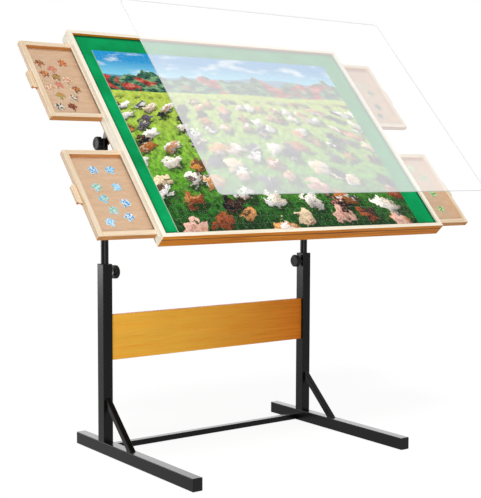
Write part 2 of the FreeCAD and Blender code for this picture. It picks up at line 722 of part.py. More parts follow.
def drawer_guides():
    """Four strips across the case that guide the drawers and take the screws."""
    strips = (
        ("Sizes.rail_width", BAY_FRONTS["front"], None),
        (BAY_BACKS["front"], BAY_BACKS["front"] + " + Sizes.guide_width", SCREWED_GUIDES[0]),
        (BAY_FRONTS["rear"] + " - Sizes.guide_width", BAY_FRONTS["rear"], SCREWED_GUIDES[1]),
        (BAY_BACKS["rear"], INNER_BACK, SCREWED_GUIDES[2]),
    )
    members = []
    for number, (low, high, screwed) in enumerate(strips):
        plan = rectangle("-" + INNER_HALF, INNER_HALF, low, high)
        body = slab("drawer_guide_%d" % number, [plan], BAY_FLOOR, BAY_HEIGHT)
        if screwed:
            holes = [(along, depth, SCREW_HOLE) for along, depth in bracket_screw_places()
                     if depth == screwed]
            cut(body, "XY_Plane", holes, BAY_FLOOR, "2 * (Sizes.bracket_screw_grip + Sizes.screw_fit)")
        members.append(body)
    group("drawer_guides", members)


def centre_stops():
    """Blocks in the middle of each bay that the closed drawers stop against."""
    members = []
    for row_name in ROWS:
        plan = rectangle("-Sizes.centre_stop_width / 2", "Sizes.centre_stop_width / 2",
                         BAY_FRONTS[row_name], BAY_BACKS[row_name])
        members.append(slab("centre_stop_" + row_name, [plan], BAY_FLOOR, BAY_HEIGHT))
    group("centre_stops", members)


# ---------------------------------------------------------------- tilt brackets
def bracket_screw_places():
    """X and depth of every screw through the two bracket flanges."""
    for side in (-1, 1):
        along = "%d * (%s - Sizes.flange_width / 2)" % (side, POST_X)
        for depth in SCREWED_GUIDES:
            yield along, depth


def tilt_bracket(side_name, side):
    """V-shaped plate with a triangular window, a pivot eye and a screwed flange."""
    body = new_body(side_name + "_tilt_bracket", on_table=True)
    centre = "%d * %s" % (side, POST_X)
    corner = "(Sizes.bracket_strut / 2 / sin(Sizes.bracket_half_angle))"
    spread = "((Sizes.pivot_drop + %s) * tan(Sizes.bracket_half_angle))" % corner
    outline = [("Sizes.pivot_depth - " + spread, "-" + DROP),
               ("Sizes.pivot_depth", "-%s - %s" % (PIVOT_DROP, corner)),
               ("Sizes.pivot_depth + " + spread, "-" + DROP)]
    pad(body, "YZ_Plane", [outline], centre + " - Sizes.bracket_plate / 2", "Sizes.bracket_plate")
    fillet(body, "Sizes.bracket_strut / 2", lambda edge: (
        runs_along(edge, 0) and lies_at(edge, 1, value("pivot_depth"))))
    inner = "((Sizes.pivot_drop - Sizes.bracket_web - %s) * tan(Sizes.bracket_half_angle))" % corner
    web = "-%s - Sizes.bracket_web" % DROP
    window = [("Sizes.pivot_depth - " + inner, web), ("Sizes.pivot_depth", "-%s + %s" % (PIVOT_DROP, corner)),
              ("Sizes.pivot_depth + " + inner, web)]
    opening = cut(body, "YZ_Plane", [window], centre, "3 * Sizes.bracket_plate")
    corners = [(line.StartPoint.x, line.StartPoint.y) for line in opening.Profile[0].Geometry]
    fillet(body, "Sizes.bracket_window_round", lambda edge: runs_along(edge, 0) and any(
        lies_at(edge, 1, depth) and lies_at(edge, 2, height) for depth, height in corners))
    cut(body, "YZ_Plane", [("Sizes.pivot_depth", "-" + PIVOT_DROP, STUD_HOLE)], centre,
        "3 * Sizes.bracket_plate")
    edge_x = "%d * (%s + Sizes.bracket_plate / 2)" % (side, POST_X)
    far_x = "%d * (%s + Sizes.bracket_plate / 2 - Sizes.flange_width)" % (side, POST_X)
    plan = [rectangle(edge_x, far_x, SCREWED_GUIDES[0] + " - Sizes.flange_end",
                      SCREWED_GUIDES[2] + " + Sizes.flange_end")]
    own_side = "%d * (%s - Sizes.flange_width / 2)" % (side, POST_X)
    plan += [(own_side, depth, SCREW_HOLE) for depth in SCREWED_GUIDES]
    pad(body, "XY_Plane", plan, "-%s - Sizes.bracket_plate" % DROP, "Sizes.bracket_plate")
    keep(body)


def bracket_screws():
    """Pan-head screws through the flanges into the drawer guides."""
    members = []
    seat = "-%s - Sizes.bracket_plate" % DROP
    for number, (along, depth) in enumerate(bracket_screw_places()):
        body = new_body("bracket_screw_%d" % number, on_table=True)
        pad(body, "XY_Plane", [(along, depth, "Sizes.screw_head_diameter / 2")],
            seat + " - Sizes.screw_head", "Sizes.screw_head")
        pad(body, "XY_Plane", [(along, depth, "Sizes.screw_shank_diameter / 2")], seat,
            "Sizes.bracket_plate + Sizes.bottom_thickness + Sizes.bracket_screw_grip")
        members.append(body)
    group("bracket_screws", members)


# ---------------------------------------------------------------- drawers
def drawer(row_name, side_name, side):
    """One sorting drawer: end rails, side rails, floor and loose pieces."""
    name = "%s_%s" % (row_name, side_name)
    start = DRAWER_STARTS[row_name]
    finish = "%s + %s" % (start, DRAWER_WIDTH)

    def inward(distance):
        """X at a distance in from the drawer's outer end."""
        return "%d * (Sizes.table_width / 2 + Sizes.%s_out - (%s))" % (side, name, distance)

    rail = "Sizes.drawer_rail"
    far = "%s - Sizes.drawer_rail" % DRAWER_LENGTH
    front = slab(name + "_drawer_front", [rectangle(inward("0"), inward(rail), start, finish)],
                 DRAWER_BOTTOM, DRAWER_HEIGHT)
    outer = side * (value("table_width") / 2 + value(name + "_out"))
    fillet(front, "Sizes.edge_round", lambda edge: (
        lies_at(edge, 0, outer) and (runs_along(edge, 1) or runs_along(edge, 2))))
    middle = "%s + %s / 2" % (start, DRAWER_WIDTH)
    grip = rectangle(inward("-Sizes.pull_reach"), inward("2 * Sizes.edge_round"),
                     middle + " - Sizes.pull_length / 2", middle + " + Sizes.pull_length / 2")
    pad(front, "XY_Plane", [grip], DRAWER_BOTTOM + " + Sizes.edge_round", "Sizes.pull_thickness")
    tip = outer + side * value("pull_reach")
    fillet(front, "Sizes.pull_corner", lambda edge: runs_along(edge, 2) and lies_at(edge, 0, tip))
    cove = (inward("-Sizes.pull_reach / 2"), DRAWER_BOTTOM + " + Sizes.edge_round", "Sizes.pull_cove")
    cut(front, "XZ_Plane", [cove], middle, "2 * Sizes.pull_length")
    keep(front)
    keep(slab(name + "_drawer_back", [rectangle(inward(far), inward(DRAWER_LENGTH), start, finish)],
              DRAWER_BOTTOM, DRAWER_HEIGHT))
    near_side = rectangle(inward(rail), inward(far), start, "%s + %s" % (start, rail))
    rear_side = rectangle(inward(rail), inward(far), "%s - %s" % (finish, rail), finish)
    group(name + "_drawer_sides",
          [slab("%s_side_%d" % (name, number), [plan], DRAWER_BOTTOM, DRAWER_HEIGHT)
           for number, plan in enumerate((near_side, rear_side))])
    plan = rectangle(inward(rail), inward(far), "%s + %s" % (start, rail), "%s - %s" % (finish, rail))
    floor = keep(slab(name + "_drawer_floor", [plan], DRAWER_BOTTOM, "Sizes.drawer_floor"))
    doc.recompute()
    loose_pieces(name, side, floor)


def jigsaw_piece():
    """A square piece with two knobs and two sockets, centred on its origin."""
    thick = value("piece_thickness")
    radius = value("piece_knob_radius")
    edge = value("loose_piece_size") - 2 * radius
    piece = Part.makeBox(edge, edge, thick, FreeCAD.Vector(-edge / 2, -edge / 2, 0))
    for direction in (FreeCAD.Vector(1, 0, 0), FreeCAD.Vector(0, 1, 0)):
        knob = knob_prism(radius, thick)
        knob.translate(direction * (edge / 2 + PIECE_KNOB_OFFSET * radius))
        socket = knob_prism(radius, thick)
        socket.translate(direction * (PIECE_KNOB_OFFSET * radius - edge / 2))
        piece = piece.fuse(knob).cut(socket)
    return piece.removeSplitter()


def knob_prism(radius, thick):
    """A regular prism that stands for a piece's round knob."""
    corners = []
    for k in range(PIECE_KNOB_SIDES + 1):
        angle = 2 * math.pi * (k + 0.5) / PIECE_KNOB_SIDES
        corners.append(FreeCAD.Vector(radius * math.cos(angle), radius * math.sin(angle), 0))
    return Part.Face(Part.makePolygon(corners)).extrude(FreeCAD.Vector(0, 0, thick))


def loose_pieces(name, side, floor):
    """Sorted pieces lying flat on the drawer's floor panel."""
    panel = floor.Shape.copy()
    panel.Placement = FreeCAD.Placement()
    box = panel.BoundBox
    outer = max(side * box.XMin, side * box.XMax) + value("drawer_rail")
    pieces = []
    for inward, across, turn in LOOSE_PIECES[name]:
        piece = jigsaw_piece()
        piece.rotate(FreeCAD.Vector(), FreeCAD.Vector(0, 0, 1), turn)
        depth = box.YMin + box.YLength * across / 100
        piece.translate(FreeCAD.Vector(side * (outer - inward), depth, box.ZMax))
        pieces.append(piece)
    feature = doc.addObject("Part::Feature", name + "_loose_pieces")
    feature.Shape = Part.makeCompound(pieces)
    tilt_with_table(feature)
    keep(feature, name + "_loose_pieces")


# ---------------------------------------------------------------- puzzle and cover
def assembled_puzzle():
    """The part-finished jigsaw as one thin slab on the felt."""
    plan = rectangle("-%s + Sizes.puzzle_left_margin" % INNER_HALF,
                     "%s - Sizes.puzzle_right_margin" % INNER_HALF,
                     "Sizes.rail_width + Sizes.puzzle_front_margin",
                     INNER_BACK + " - Sizes.puzzle_rear_margin")
    keep(slab("assembled_puzzle", [plan], "-Sizes.recess_depth", "Sizes.piece_thickness"))


def clear_cover():
    """Acrylic sheet with rounded corners, lifted off its seat on the puzzle."""
    half = "(%s - Sizes.cover_end_margin)" % INNER_HALF
    near = "Sizes.rail_width + Sizes.cover_side_margin - Sizes.cover_forward_shift"
    plan = rectangle("Sizes.cover_right_shift - " + half, "Sizes.cover_right_shift + " + half,
                     near, INNER_BACK + " - Sizes.cover_side_margin - Sizes.cover_forward_shift")
    seat = "(-Sizes.recess_depth + Sizes.piece_thickness + Sizes.cover_seat_gap)"
    body = slab("clear_cover", [plan], seat + " + Sizes.cover_lift", "Sizes.cover_thickness")
    fillet(body, "Sizes.cover_corner", lambda edge: runs_along(edge, 2))
    keep(body)


# ---------------------------------------------------------------- build and write
def build():
    for side_name, side in SIDES:
        foot(side_name, side)
        post(side_name, side)
        brace(side_name, side)
        inner_tube(side_name, side)
        side_case(side_name, side)
        tilt_bracket(side_name, side)
    group("foot_end_caps", [foot_cap(side, end) for side in (-1, 1) for end in (-1, 1)])
    group("post_collars", [post_collar(side) for side in (-1, 1)])
    group("height_nuts", [height_nut(side) for side in (-1, 1)])
    group("pivot_forks", [pivot_fork(side) for side in (-1, 1)])
    tie_bar()
    crossboard()
    crossboard_fixings()
    knobs()
    rims()
    boards()
    long_cases()
    drawer_guides()
    centre_stops()
    bracket_screws()
    for row_name in ROWS:
        for side_name, side in SIDES:
            drawer(row_name, side_name, side)
    assembled_puzzle()
    clear_cover()
    doc.recompute()


def write():
    """Check every object and shape, then write one STEP file for each sub-part."""
    for item in doc.Objects:
        if "Invalid" in item.State or "Error" in item.State:
            raise ValueError("%s did not recompute: %s" % (item.Label, item.State))
    for item in nodes:
        if item.Shape.isNull() or not item.Shape.isValid():
            raise ValueError("%s has no valid shape" % item.Label)
    os.makedirs("parts", exist_ok=True)
    for item in nodes:
        item.Shape.exportStep("parts/%s.step" % item.Label)
        print("%-28s %2d solids %10.0f mm3" % (item.Label, len(item.Shape.Solids), item.Shape.Volume))
    print(len(nodes), "nodes")


build()
write()
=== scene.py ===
# %% [markdown]
# # A jigsaw table, dressed for its portrait
# The construction of the table is already a finished frame: every tube, board and knob is a mesh
# at its real place. This lesson loads it, gives each part the finish of the real one, and models
# the parts whose charm is in the surface: felt, printed jigsaw, loose pieces and clear cover.

# %% Load the frame
import json
import math

import bpy
import numpy as np
from mathutils import Matrix, Vector


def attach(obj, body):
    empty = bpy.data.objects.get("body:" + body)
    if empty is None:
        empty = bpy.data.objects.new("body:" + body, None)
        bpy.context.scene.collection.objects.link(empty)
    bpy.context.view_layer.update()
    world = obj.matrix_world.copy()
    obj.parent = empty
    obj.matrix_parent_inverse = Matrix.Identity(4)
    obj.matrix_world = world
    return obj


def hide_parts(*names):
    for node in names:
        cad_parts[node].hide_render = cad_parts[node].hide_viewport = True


# A new Blender file comes with these three, and none of them belongs to the table.
for leftover in ("Cube", "Light", "Camera"):
    if leftover in bpy.data.objects:
        bpy.data.objects.remove(bpy.data.objects[leftover])

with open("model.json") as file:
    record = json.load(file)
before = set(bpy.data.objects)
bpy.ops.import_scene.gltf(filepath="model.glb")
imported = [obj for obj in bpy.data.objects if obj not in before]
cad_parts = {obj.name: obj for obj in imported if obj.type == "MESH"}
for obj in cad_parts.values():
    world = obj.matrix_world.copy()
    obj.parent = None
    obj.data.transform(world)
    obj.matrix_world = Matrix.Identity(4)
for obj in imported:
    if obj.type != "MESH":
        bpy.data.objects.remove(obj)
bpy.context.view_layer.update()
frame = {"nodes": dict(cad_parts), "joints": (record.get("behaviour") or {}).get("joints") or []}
# Blender counts in metres here, and this is a millimetre.
MM = 0.001

# %% [markdown]
# The table top is tilted about the pivots, so all that lies on it is easiest to place in the
# top's own directions: x to the right, v up along the slope and w out of the surface. A rotation
# about X and a shift turn those into the frame's coordinates, and the inverse reads a node's size.

# %% The table top's own directions
TILT = math.radians(47.7)
hinge = next(joint for joint in frame["joints"] if joint["name"] == "tilt_hinge")
PIVOT = np.array(hinge["pos_m"])
ALONG_SLOPE = np.array([0, math.cos(TILT), math.sin(TILT)])
OUT_OF_TOP = np.array([0, -math.sin(TILT), math.cos(TILT)])


def on_table(x, v, w):
    """Frame coordinates of a point: the pivot plus v along the slope and w out of the top."""
    x, v, w = np.broadcast_arrays(x, v, w)
    sideways = np.array([1.0, 0.0, 0.0])
    return PIVOT + x[..., None] * sideways + v[..., None] * ALONG_SLOPE + w[..., None] * OUT_OF_TOP


def table_box(node):
    """Lowest and highest x, v and w of a node, from the dot products of its vertices."""
    mesh = frame["nodes"][node].data
    points = np.empty(len(mesh.vertices) * 3)
    mesh.vertices.foreach_get("co", points)
    points = points.reshape(-1, 3) - PIVOT
    local = np.stack([points[:, 0], points @ ALONG_SLOPE, points @ OUT_OF_TOP], axis=1)
    return local.min(axis=0), local.max(axis=0)


print("felt lies at w =", round(table_box("felt_surface")[1][2] / MM, 2), "mm from the pivot")

# %% [markdown]
# Colours are picked as sRGB hex values, as a paint shop would name them, but Cycles mixes light in
# linear values. One function converts them. A second adds a shader node of any kind, sets it,
# links it and hands back one of its outputs. Every material below is made with these two.

# %% Colours and nodes
def linear(hex_colour):
    """Linear RGBA of an sRGB hex colour: the standard gamma curve with its straight toe."""
    channels = np.array([int(hex_colour[k:k + 2], 16) for k in (1, 3, 5)]) / 255
    curve = np.where(channels <= 0.04045, channels / 12.92, ((channels + 0.055) / 1.055) ** 2.4)
    return (*curve.tolist(), 1.0)


def add(tree, kind, inputs=(), out=0, stops=(), steps=(), **settings):
    """One node: its settings, colour stops or even steps, and inputs by place or name.

    Each input is a value or another node's output. What comes back is the output named out.
    """
    made = tree.nodes.new("ShaderNode" + kind)
    for name, setting in settings.items():
        setattr(made, name, setting)
    for socket, given in inputs.items() if isinstance(inputs, dict) else enumerate(inputs):
        if isinstance(given, bpy.types.NodeSocket):
            tree.links.new(given, made.inputs[socket])
        else:
            made.inputs[socket].default_value = given
    if steps:
        made.color_ramp.interpolation = "CONSTANT"
        stops = [(k / len(steps), colour) for k, colour in enumerate(steps)]
    elements = made.color_ramp.elements if stops else ()
    while len(elements) < len(stops):
        elements.new(1.0)
    for element, (place, colour) in zip(elements, stops):
        element.position = place
        element.color = linear(colour) if isinstance(colour, str) else (colour, colour, colour, 1)
    return made.outputs[out] if made.outputs else None


# What a Mix node needs to be told to mix two colours.
OF_COLOURS = {"out": "Result", "data_type": "RGBA"}
print("cream is", [round(channel, 3) for channel in linear("#FBEBD3")[:3]])

# %% [markdown]
# A material is a Principled shader whose plain numbers sit on its own sockets, with patterns
# linked into the rest. Nearly every pattern here is noise squeezed along some direction, so one
# function draws it from the real size of its blotches in metres.

# %% Materials
def new_material(name, **values):
    """A material with one Principled shader; the values go straight onto its sockets."""
    material = bpy.data.materials.new(name)
    material.use_nodes = True
    tree = material.node_tree
    tree.nodes.clear()
    shader = add(tree, "BsdfPrincipled", {key.replace("_", " "): values[key] for key in values})
    add(tree, "OutputMaterial", {"Surface": shader})
    return material, tree, shader.node


def wire(tree, shader, **sockets):
    """Link patterns to the shader's sockets of these names."""
    for name, socket in sockets.items():
        tree.links.new(socket, shader.inputs[name.replace("_", " ")])


def blotches(tree, place, sizes, detail=2.0, distortion=0.0, roughness=0.5):
    """Noise whose blotches have about these sizes along the three axes of place."""
    squeezed = add(tree, "VectorMath", (place, [1 / size for size in sizes]), operation="MULTIPLY")
    return add(tree, "TexNoise", {"Vector": squeezed, "Scale": 1.0, "Detail": detail,
                                  "Distortion": distortion, "Roughness": roughness})


def dress(material, *nodes):
    """Put a material on CAD nodes."""
    for node in nodes:
        frame["nodes"][node].data.materials.clear()
        frame["nodes"][node].data.materials.append(material)


plain = {node.data.materials[0].name for node in frame["nodes"].values()}
print("the frame's nodes wear", len(plain), "plain materials")

# %% [markdown]
# The stand is welded steel tube with a black powder coat. Powder melts into a skin that is satin,
# not glossy, and slightly wavy like orange peel. Two noises give it: a wave of about 2 mm for
# the bump and a slow one for patches that are a touch duller. What the eye sees as grey on it
# is mostly the room's weak reflection, so the colour below is nearly black.

# %% Black powder-coated steel
def powder_coat():
    """Satin black powder coat: a nearly black base under a weak, slightly wavy reflection."""
    material, tree, shader = new_material("powder_coated_steel", Specular_IOR_Level=0.15)
    place = add(tree, "TexCoord", out="Object")
    slow = blotches(tree, place, [110 * MM] * 3, detail=3.0)
    peel = blotches(tree, place, [2 * MM] * 3, detail=1.0)
    wire(tree, shader,
         Base_Color=add(tree, "ValToRGB", (slow,), stops=[(0.3, "#09090A"), (0.7, "#0F0F10")]),
         Roughness=add(tree, "MapRange", (slow, 0.0, 1.0, 0.19, 0.27)),
         Normal=add(tree, "Bump", {"Height": peel, "Strength": 0.10, "Distance": 0.2 * MM}))
    return material


steel = powder_coat()
dress(steel, "left_foot", "right_foot", "left_post", "right_post", "left_brace", "right_brace",
      "tie_bar", "crossboard_tabs", "left_inner_tube", "right_inner_tube", "pivot_forks",
      "left_tilt_bracket", "right_tilt_bracket")
print("powder coat on", sum(1 for node in frame["nodes"].values() if node.data.materials[0] == steel))

# %% [markdown]
# Caps, collars and knobs are moulded polypropylene. The mould is spark-eroded, which leaves a
# fine grain of about 0.4 mm and a duller black than the steel. Screws and nuts are zinc-plated:
# a bright metal, faintly clouded by the plating bath.

# %% Moulded black plastic and zinc plate
def moulded_plastic():
    """Matte black polypropylene with a fine spark-eroded grain."""
    material, tree, shader = new_material("moulded_polypropylene", Specular_IOR_Level=0.15,
                                          Base_Color=linear("#171718"))
    grain = blotches(tree, add(tree, "TexCoord", out="Object"), [0.4 * MM] * 3)
    wire(tree, shader, Roughness=add(tree, "MapRange", (grain, 0.0, 1.0, 0.42, 0.60)),
         Normal=add(tree, "Bump", {"Height": grain, "Strength": 0.15, "Distance": 0.1 * MM}))
    return material


def zinc_plate():
    """Bright zinc-plated steel, clouded in patches of about 3 mm."""
    material, tree, shader = new_material("zinc_plated_steel", Metallic=1.0)
    cloud = blotches(tree, add(tree, "TexCoord", out="Object"), [3 * MM] * 3, detail=3.0)
    wire(tree, shader,
         Base_Color=add(tree, "ValToRGB", (cloud,), stops=[(0.3, "#B9BABA"), (0.7, "#D6D7D4")]),
         Roughness=add(tree, "MapRange", (cloud, 0.0, 1.0, 0.25, 0.42)))
    return material


dress(moulded_plastic(), "foot_end_caps", "post_collars", "left_height_knob", "right_height_knob",
      "left_tilt_knob", "right_tilt_knob")
dress(zinc_plate(), "bracket_screws", "crossboard_screws", "height_nuts")
print("small parts are plastic or zinc-plated")

# %% [markdown]
# All the solid wood is pine with a thin, dull varnish. Its late wood draws fine lines along each
# board, a few to the centimetre, over a slow change of tone: blotches squeezed across the grain
# and drawn out along it. Faces are pale, and a second, darker set of tones is mixed in where the
# surface faces a given way: partly the stronger stain that sawn edges take, partly painted shade
# on those faces. Two extras serve a few boards only: a dark line at the seam where two layers of
# wood meet, painted shade of the groove with some stain gathered in it, and painted shade that
# deepens towards the right.

# %% Varnished pine
def along_grain(along, across_size, along_size):
    """Three sizes, the long one on the axis that the grain runs along."""
    sizes = [across_size] * 3
    sizes[along] = along_size
    return sizes


def varnished_pine(name, face, edge, along, edge_normal=(0, *ALONG_SLOPE[1:]), turn=-TILT,
                   seam=None, fade=None):
    """Pine with its grain along axis 0, 1 or 2 of coordinates turned about X by turn.

    The edge tones, partly stain and partly painted shade, show by the size of normal dot
    edge_normal, and as painted shade by x where fade is given as (x at its start, x at its end,
    share at its start, share at its end). The seam is a dark line at one height out of the table
    top, on faces that look along the slope: painted shade of the groove, with stain gathered in it.
    """
    material, tree, shader = new_material(name, Specular_IOR_Level=0.1)
    place = add(tree, "TexCoord", out="Object")
    normal = place.node.outputs["Normal"]
    place = add(tree, "VectorRotate", {"Vector": place, "Angle": turn}, rotation_type="X_AXIS")
    rings = blotches(tree, place, along_grain(along, 4 * MM, 160 * MM), 3.0, 0.6)
    fibres = blotches(tree, place, along_grain(along, 0.9 * MM, 30 * MM), 2.0, 0.6)
    slow = blotches(tree, place, along_grain(along, 35 * MM, 500 * MM), 2.0, 0.6)
    tones = [add(tree, "ValToRGB", (rings,), stops=list(zip((0.30, 0.52, 0.72), three)))
             for three in (face, edge)]
    # Where a face looks along edge_normal the edge tones come in: partly stain, partly painted shade.
    facing = add(tree, "VectorMath", (normal, edge_normal), out="Value", operation="DOT_PRODUCT")
    facing = add(tree, "Math", (facing,), operation="ABSOLUTE")
    edge_stain_and_painted_shade = add(tree, "MapRange", (facing, 0.55, 0.8))
    # Painted shade towards one end: by x the edge tones are mixed in further.
    if fade:
        sideways = add(tree, "MapRange", (add(tree, "SeparateXYZ", (place,)), *fade))
        edge_stain_and_painted_shade = add(tree, "Math", (edge_stain_and_painted_shade, sideways), operation="MAXIMUM")
    tone = add(tree, "Mix", {"Factor": edge_stain_and_painted_shade, "A": tones[0], "B": tones[1]}, **OF_COLOURS)
    # A dark line at the seam: painted shade of the groove, with stain gathered in it.
    if seam:
        out_of_top = add(tree, "SeparateXYZ", (place,), "Z")
        apart = add(tree, "Math", (out_of_top, seam), operation="SUBTRACT")
        apart = add(tree, "Math", (apart,), operation="ABSOLUTE")
        shaded = add(tree, "MapRange", (facing, 0.2, 0.6, 0.0, 0.9))
        shaded = add(tree, "MapRange", (apart, 0.8 * MM, 1.8 * MM, shaded, 0.0))
        tone = add(tree, "Mix", {"Factor": shaded, "A": tone, "B": linear("#3A1C06")}, **OF_COLOURS)
    for layer, dim, bright in ((fibres, 0.93, 1.05), (slow, 0.94, 1.05)):
        tint = add(tree, "MapRange", (layer, 0.3, 0.7, dim, bright))
        tone = add(tree, "VectorMath", {0: tone, "Scale": tint}, operation="SCALE")
    wire(tree, shader, Base_Color=tone,
         Roughness=add(tree, "MapRange", (fibres, 0.0, 1.0, 0.34, 0.52)),
         Normal=add(tree, "Bump", {"Height": fibres, "Strength": 0.12, "Distance": 0.1 * MM}))
    return material


print("growth rings up the slope, in metres:", along_grain(1, 4 * MM, 160 * MM))

# %% [markdown]
# Six stains cover the table, each as three tones from early to late wood. The top's rails are
# nearly white, with tan edges at the sides and honey ones in front and behind. The drawers are
# buff with tan edges. The edge tones stand partly for these stains and partly for painted shade.
# The crossboard is golden, and painted shade deepens it to amber towards the right. The
# seam lies where the rim's underside meets the drawer case.

# %% Stains
PALE = ("#F8F2E4", "#F4EBD7", "#EADBBC")
TAN = ("#D8A068", "#CC8C52", "#B0703A")
HONEY = ("#EC9A2C", "#D67E18", "#B05E0C")
BUFF = ("#EDDCC4", "#E4CEB0", "#D6B690")
GOLD = ("#FFC44C", "#FFBC44", "#FFB038")
# AMBER is the crossboard's edge tones and also its painted shade towards the right.
AMBER = ("#E27A1E", "#D66E16", "#C66210")
SIDEWAYS, UP_SLOPE = 0, 1
DRAWERS = ("front_left", "rear_left", "front_right", "rear_right")
dress(varnished_pine("pale_pine_up_the_slope", PALE, TAN, UP_SLOPE),
      "rim_left", "rim_right", "case_left", "case_right", "centre_stops")
SEAM = table_box("rim_front")[0][2] + PIVOT @ OUT_OF_TOP
dress(varnished_pine("honey_edged_pine", PALE, HONEY, SIDEWAYS, seam=SEAM),
      "rim_front", "rim_rear", "case_front", "case_rear")
dress(varnished_pine("buff_pine", BUFF, TAN, SIDEWAYS),
      "drawer_guides", *[drawer + "_drawer_sides" for drawer in DRAWERS])
# The drawers' end rails take part of the edge tones on their outer faces too, as painted
# shade, so x counts for part of an edge.
OUTER_AND_EDGE = (0.63, *(0.9 * ALONG_SLOPE[1:]))
dress(varnished_pine("buff_pine_up_the_slope", BUFF, TAN, UP_SLOPE, edge_normal=OUTER_AND_EDGE),
      *[drawer + end for drawer in DRAWERS for end in ("_drawer_front", "_drawer_back")])
# Painted shade towards the crossboard's right end: fade mixes in the amber tones by x.
dress(varnished_pine("honey_stained_board", GOLD, AMBER, SIDEWAYS, edge_normal=(0, 0, 1), turn=0.0,
                     fade=(-0.10, 0.33, 0.0, 0.92)), "crossboard")
print("pine materials:", [stain.name for stain in bpy.data.materials if "pine" in stain.name])

# %% [markdown]
# The drawer floors and the two big panels are thin plywood: rotary-cut veneer with a broad figure
# of low contrast and short dark flecks. It is browner and duller than the solid pine.

# %% Plywood
def plywood(name, light, dark):
    """Rotary-cut veneer: broad distorted blotches for the figure, short fine ones for flecks."""
    material, tree, shader = new_material(name, Roughness=0.6, Specular_IOR_Level=0.15)
    place = add(tree, "TexCoord", out="Object")
    place = add(tree, "VectorRotate", {"Vector": place, "Angle": -TILT}, rotation_type="X_AXIS")
    figure = blotches(tree, place, along_grain(SIDEWAYS, 18 * MM, 90 * MM), 4.0, 1.4)
    flecks = blotches(tree, place, along_grain(SIDEWAYS, 1.2 * MM, 9 * MM))
    tone = add(tree, "ValToRGB", (figure,), stops=[(0.32, light), (0.68, dark)])
    dim = add(tree, "MapRange", (flecks, 0.35, 0.75, 1.03, 0.88))
    tone = add(tree, "VectorMath", {0: tone, "Scale": dim}, operation="SCALE")
    wire(tree, shader, Base_Color=tone,
         Normal=add(tree, "Bump", {"Height": flecks, "Strength": 0.1, "Distance": 0.1 * MM}))
    return material


dress(plywood("drawer_floor_plywood", "#D5B597", "#CCAA8B"),
      *[drawer + "_drawer_floor" for drawer in DRAWERS])
dress(plywood("panel_plywood", "#D3AC7C", "#BF9463"), "top_board", "bottom_panel")
print("plywood on", len(DRAWERS), "drawer floors and two panels")

# %% [markdown]
# New pieces are meshes worked out as whole arrays. One helper puts the arrays into a mesh, where
# a face's corners run anticlockwise seen from outside. Another gives the mesh a UV map, which
# is a pattern's own plan of the piece: one pair of numbers for each vertex.

# %% Mesh helpers
def piece(name, points, faces, materials, face_materials=None, smooth=False):
    """A mesh object at the origin from an array of points and a list of corner lists."""
    mesh = bpy.data.meshes.new(name)
    mesh.from_pydata(np.asarray(points).reshape(-1, 3).tolist(), [], faces)
    for material in materials:
        mesh.materials.append(material)
    if face_materials is not None:
        mesh.polygons.foreach_set("material_index", np.asarray(face_materials, dtype=np.int32))
    mesh.polygons.foreach_set("use_smooth", np.full(len(mesh.polygons), smooth))
    mesh.update()
    made = bpy.data.objects.new(name, mesh)
    bpy.context.scene.collection.objects.link(made)
    print(name, "has", len(mesh.polygons), "faces")
    return made


def paint_uv(made, places):
    """A UV map from one (u, v) pair for each vertex."""
    mesh = made.data
    corners = np.empty(len(mesh.loops), dtype=np.int32)
    mesh.loops.foreach_get("vertex_index", corners)
    layer = mesh.uv_layers.new(name="plan")
    layer.data.foreach_set("uv", np.asarray(places)[corners].ravel())


# %% [markdown]
# The felt is glued flat on its board, so it is a stretched sheet. Close up it is a mat of short
# wool fibres: the surface is a grid whose height wanders by a few hundredths of a millimetre,
# and the colour has tiny light and dark fibres. Sheen gives the pale bloom seen at a low angle.
# Along the rim the colour is darkened, as painted shadow of the rim that stands above the felt.
# For that its UV map holds each point's distance from the edge, in metres.

# %% Felt
def wool_felt():
    """Dyed wool felt: matted fibres drawn about 1.2 mm wide, so that they show, and slow wear."""
    material, tree, shader = new_material("green_wool_felt", Roughness=0.95, Specular_IOR_Level=0.0,
                                          Sheen_Weight=0.03, Sheen_Roughness=0.6)
    place = add(tree, "TexCoord", out="Object")
    fibres = blotches(tree, place, [1.2 * MM] * 3, detail=5.0, roughness=0.7)
    wear = blotches(tree, place, [70 * MM] * 3, detail=3.0)
    mixed = add(tree, "Mix", {"Factor": 0.35, "A": fibres, "B": wear}, "Result", data_type="FLOAT")
    tone = add(tree, "ValToRGB", (mixed,),
               stops=[(0.36, "#03763C"), (0.52, "#049856"), (0.66, "#0EB26C")])
    # Painted shadow of the rim: the colour darkens towards the felt's edge, within 9.5 mm.
    inwards = add(tree, "SeparateXYZ", (add(tree, "UVMap", uv_map="plan"),))
    painted_rim_shadow = add(tree, "MapRange", (inwards, 4 * MM, 9.5 * MM, 0.25, 1.0))
    tone = add(tree, "VectorMath", {0: tone, "Scale": painted_rim_shadow}, operation="SCALE")
    wire(tree, shader, Base_Color=tone,
         Normal=add(tree, "Bump", {"Height": fibres, "Strength": 0.5, "Distance": 0.4 * MM}))
    return material


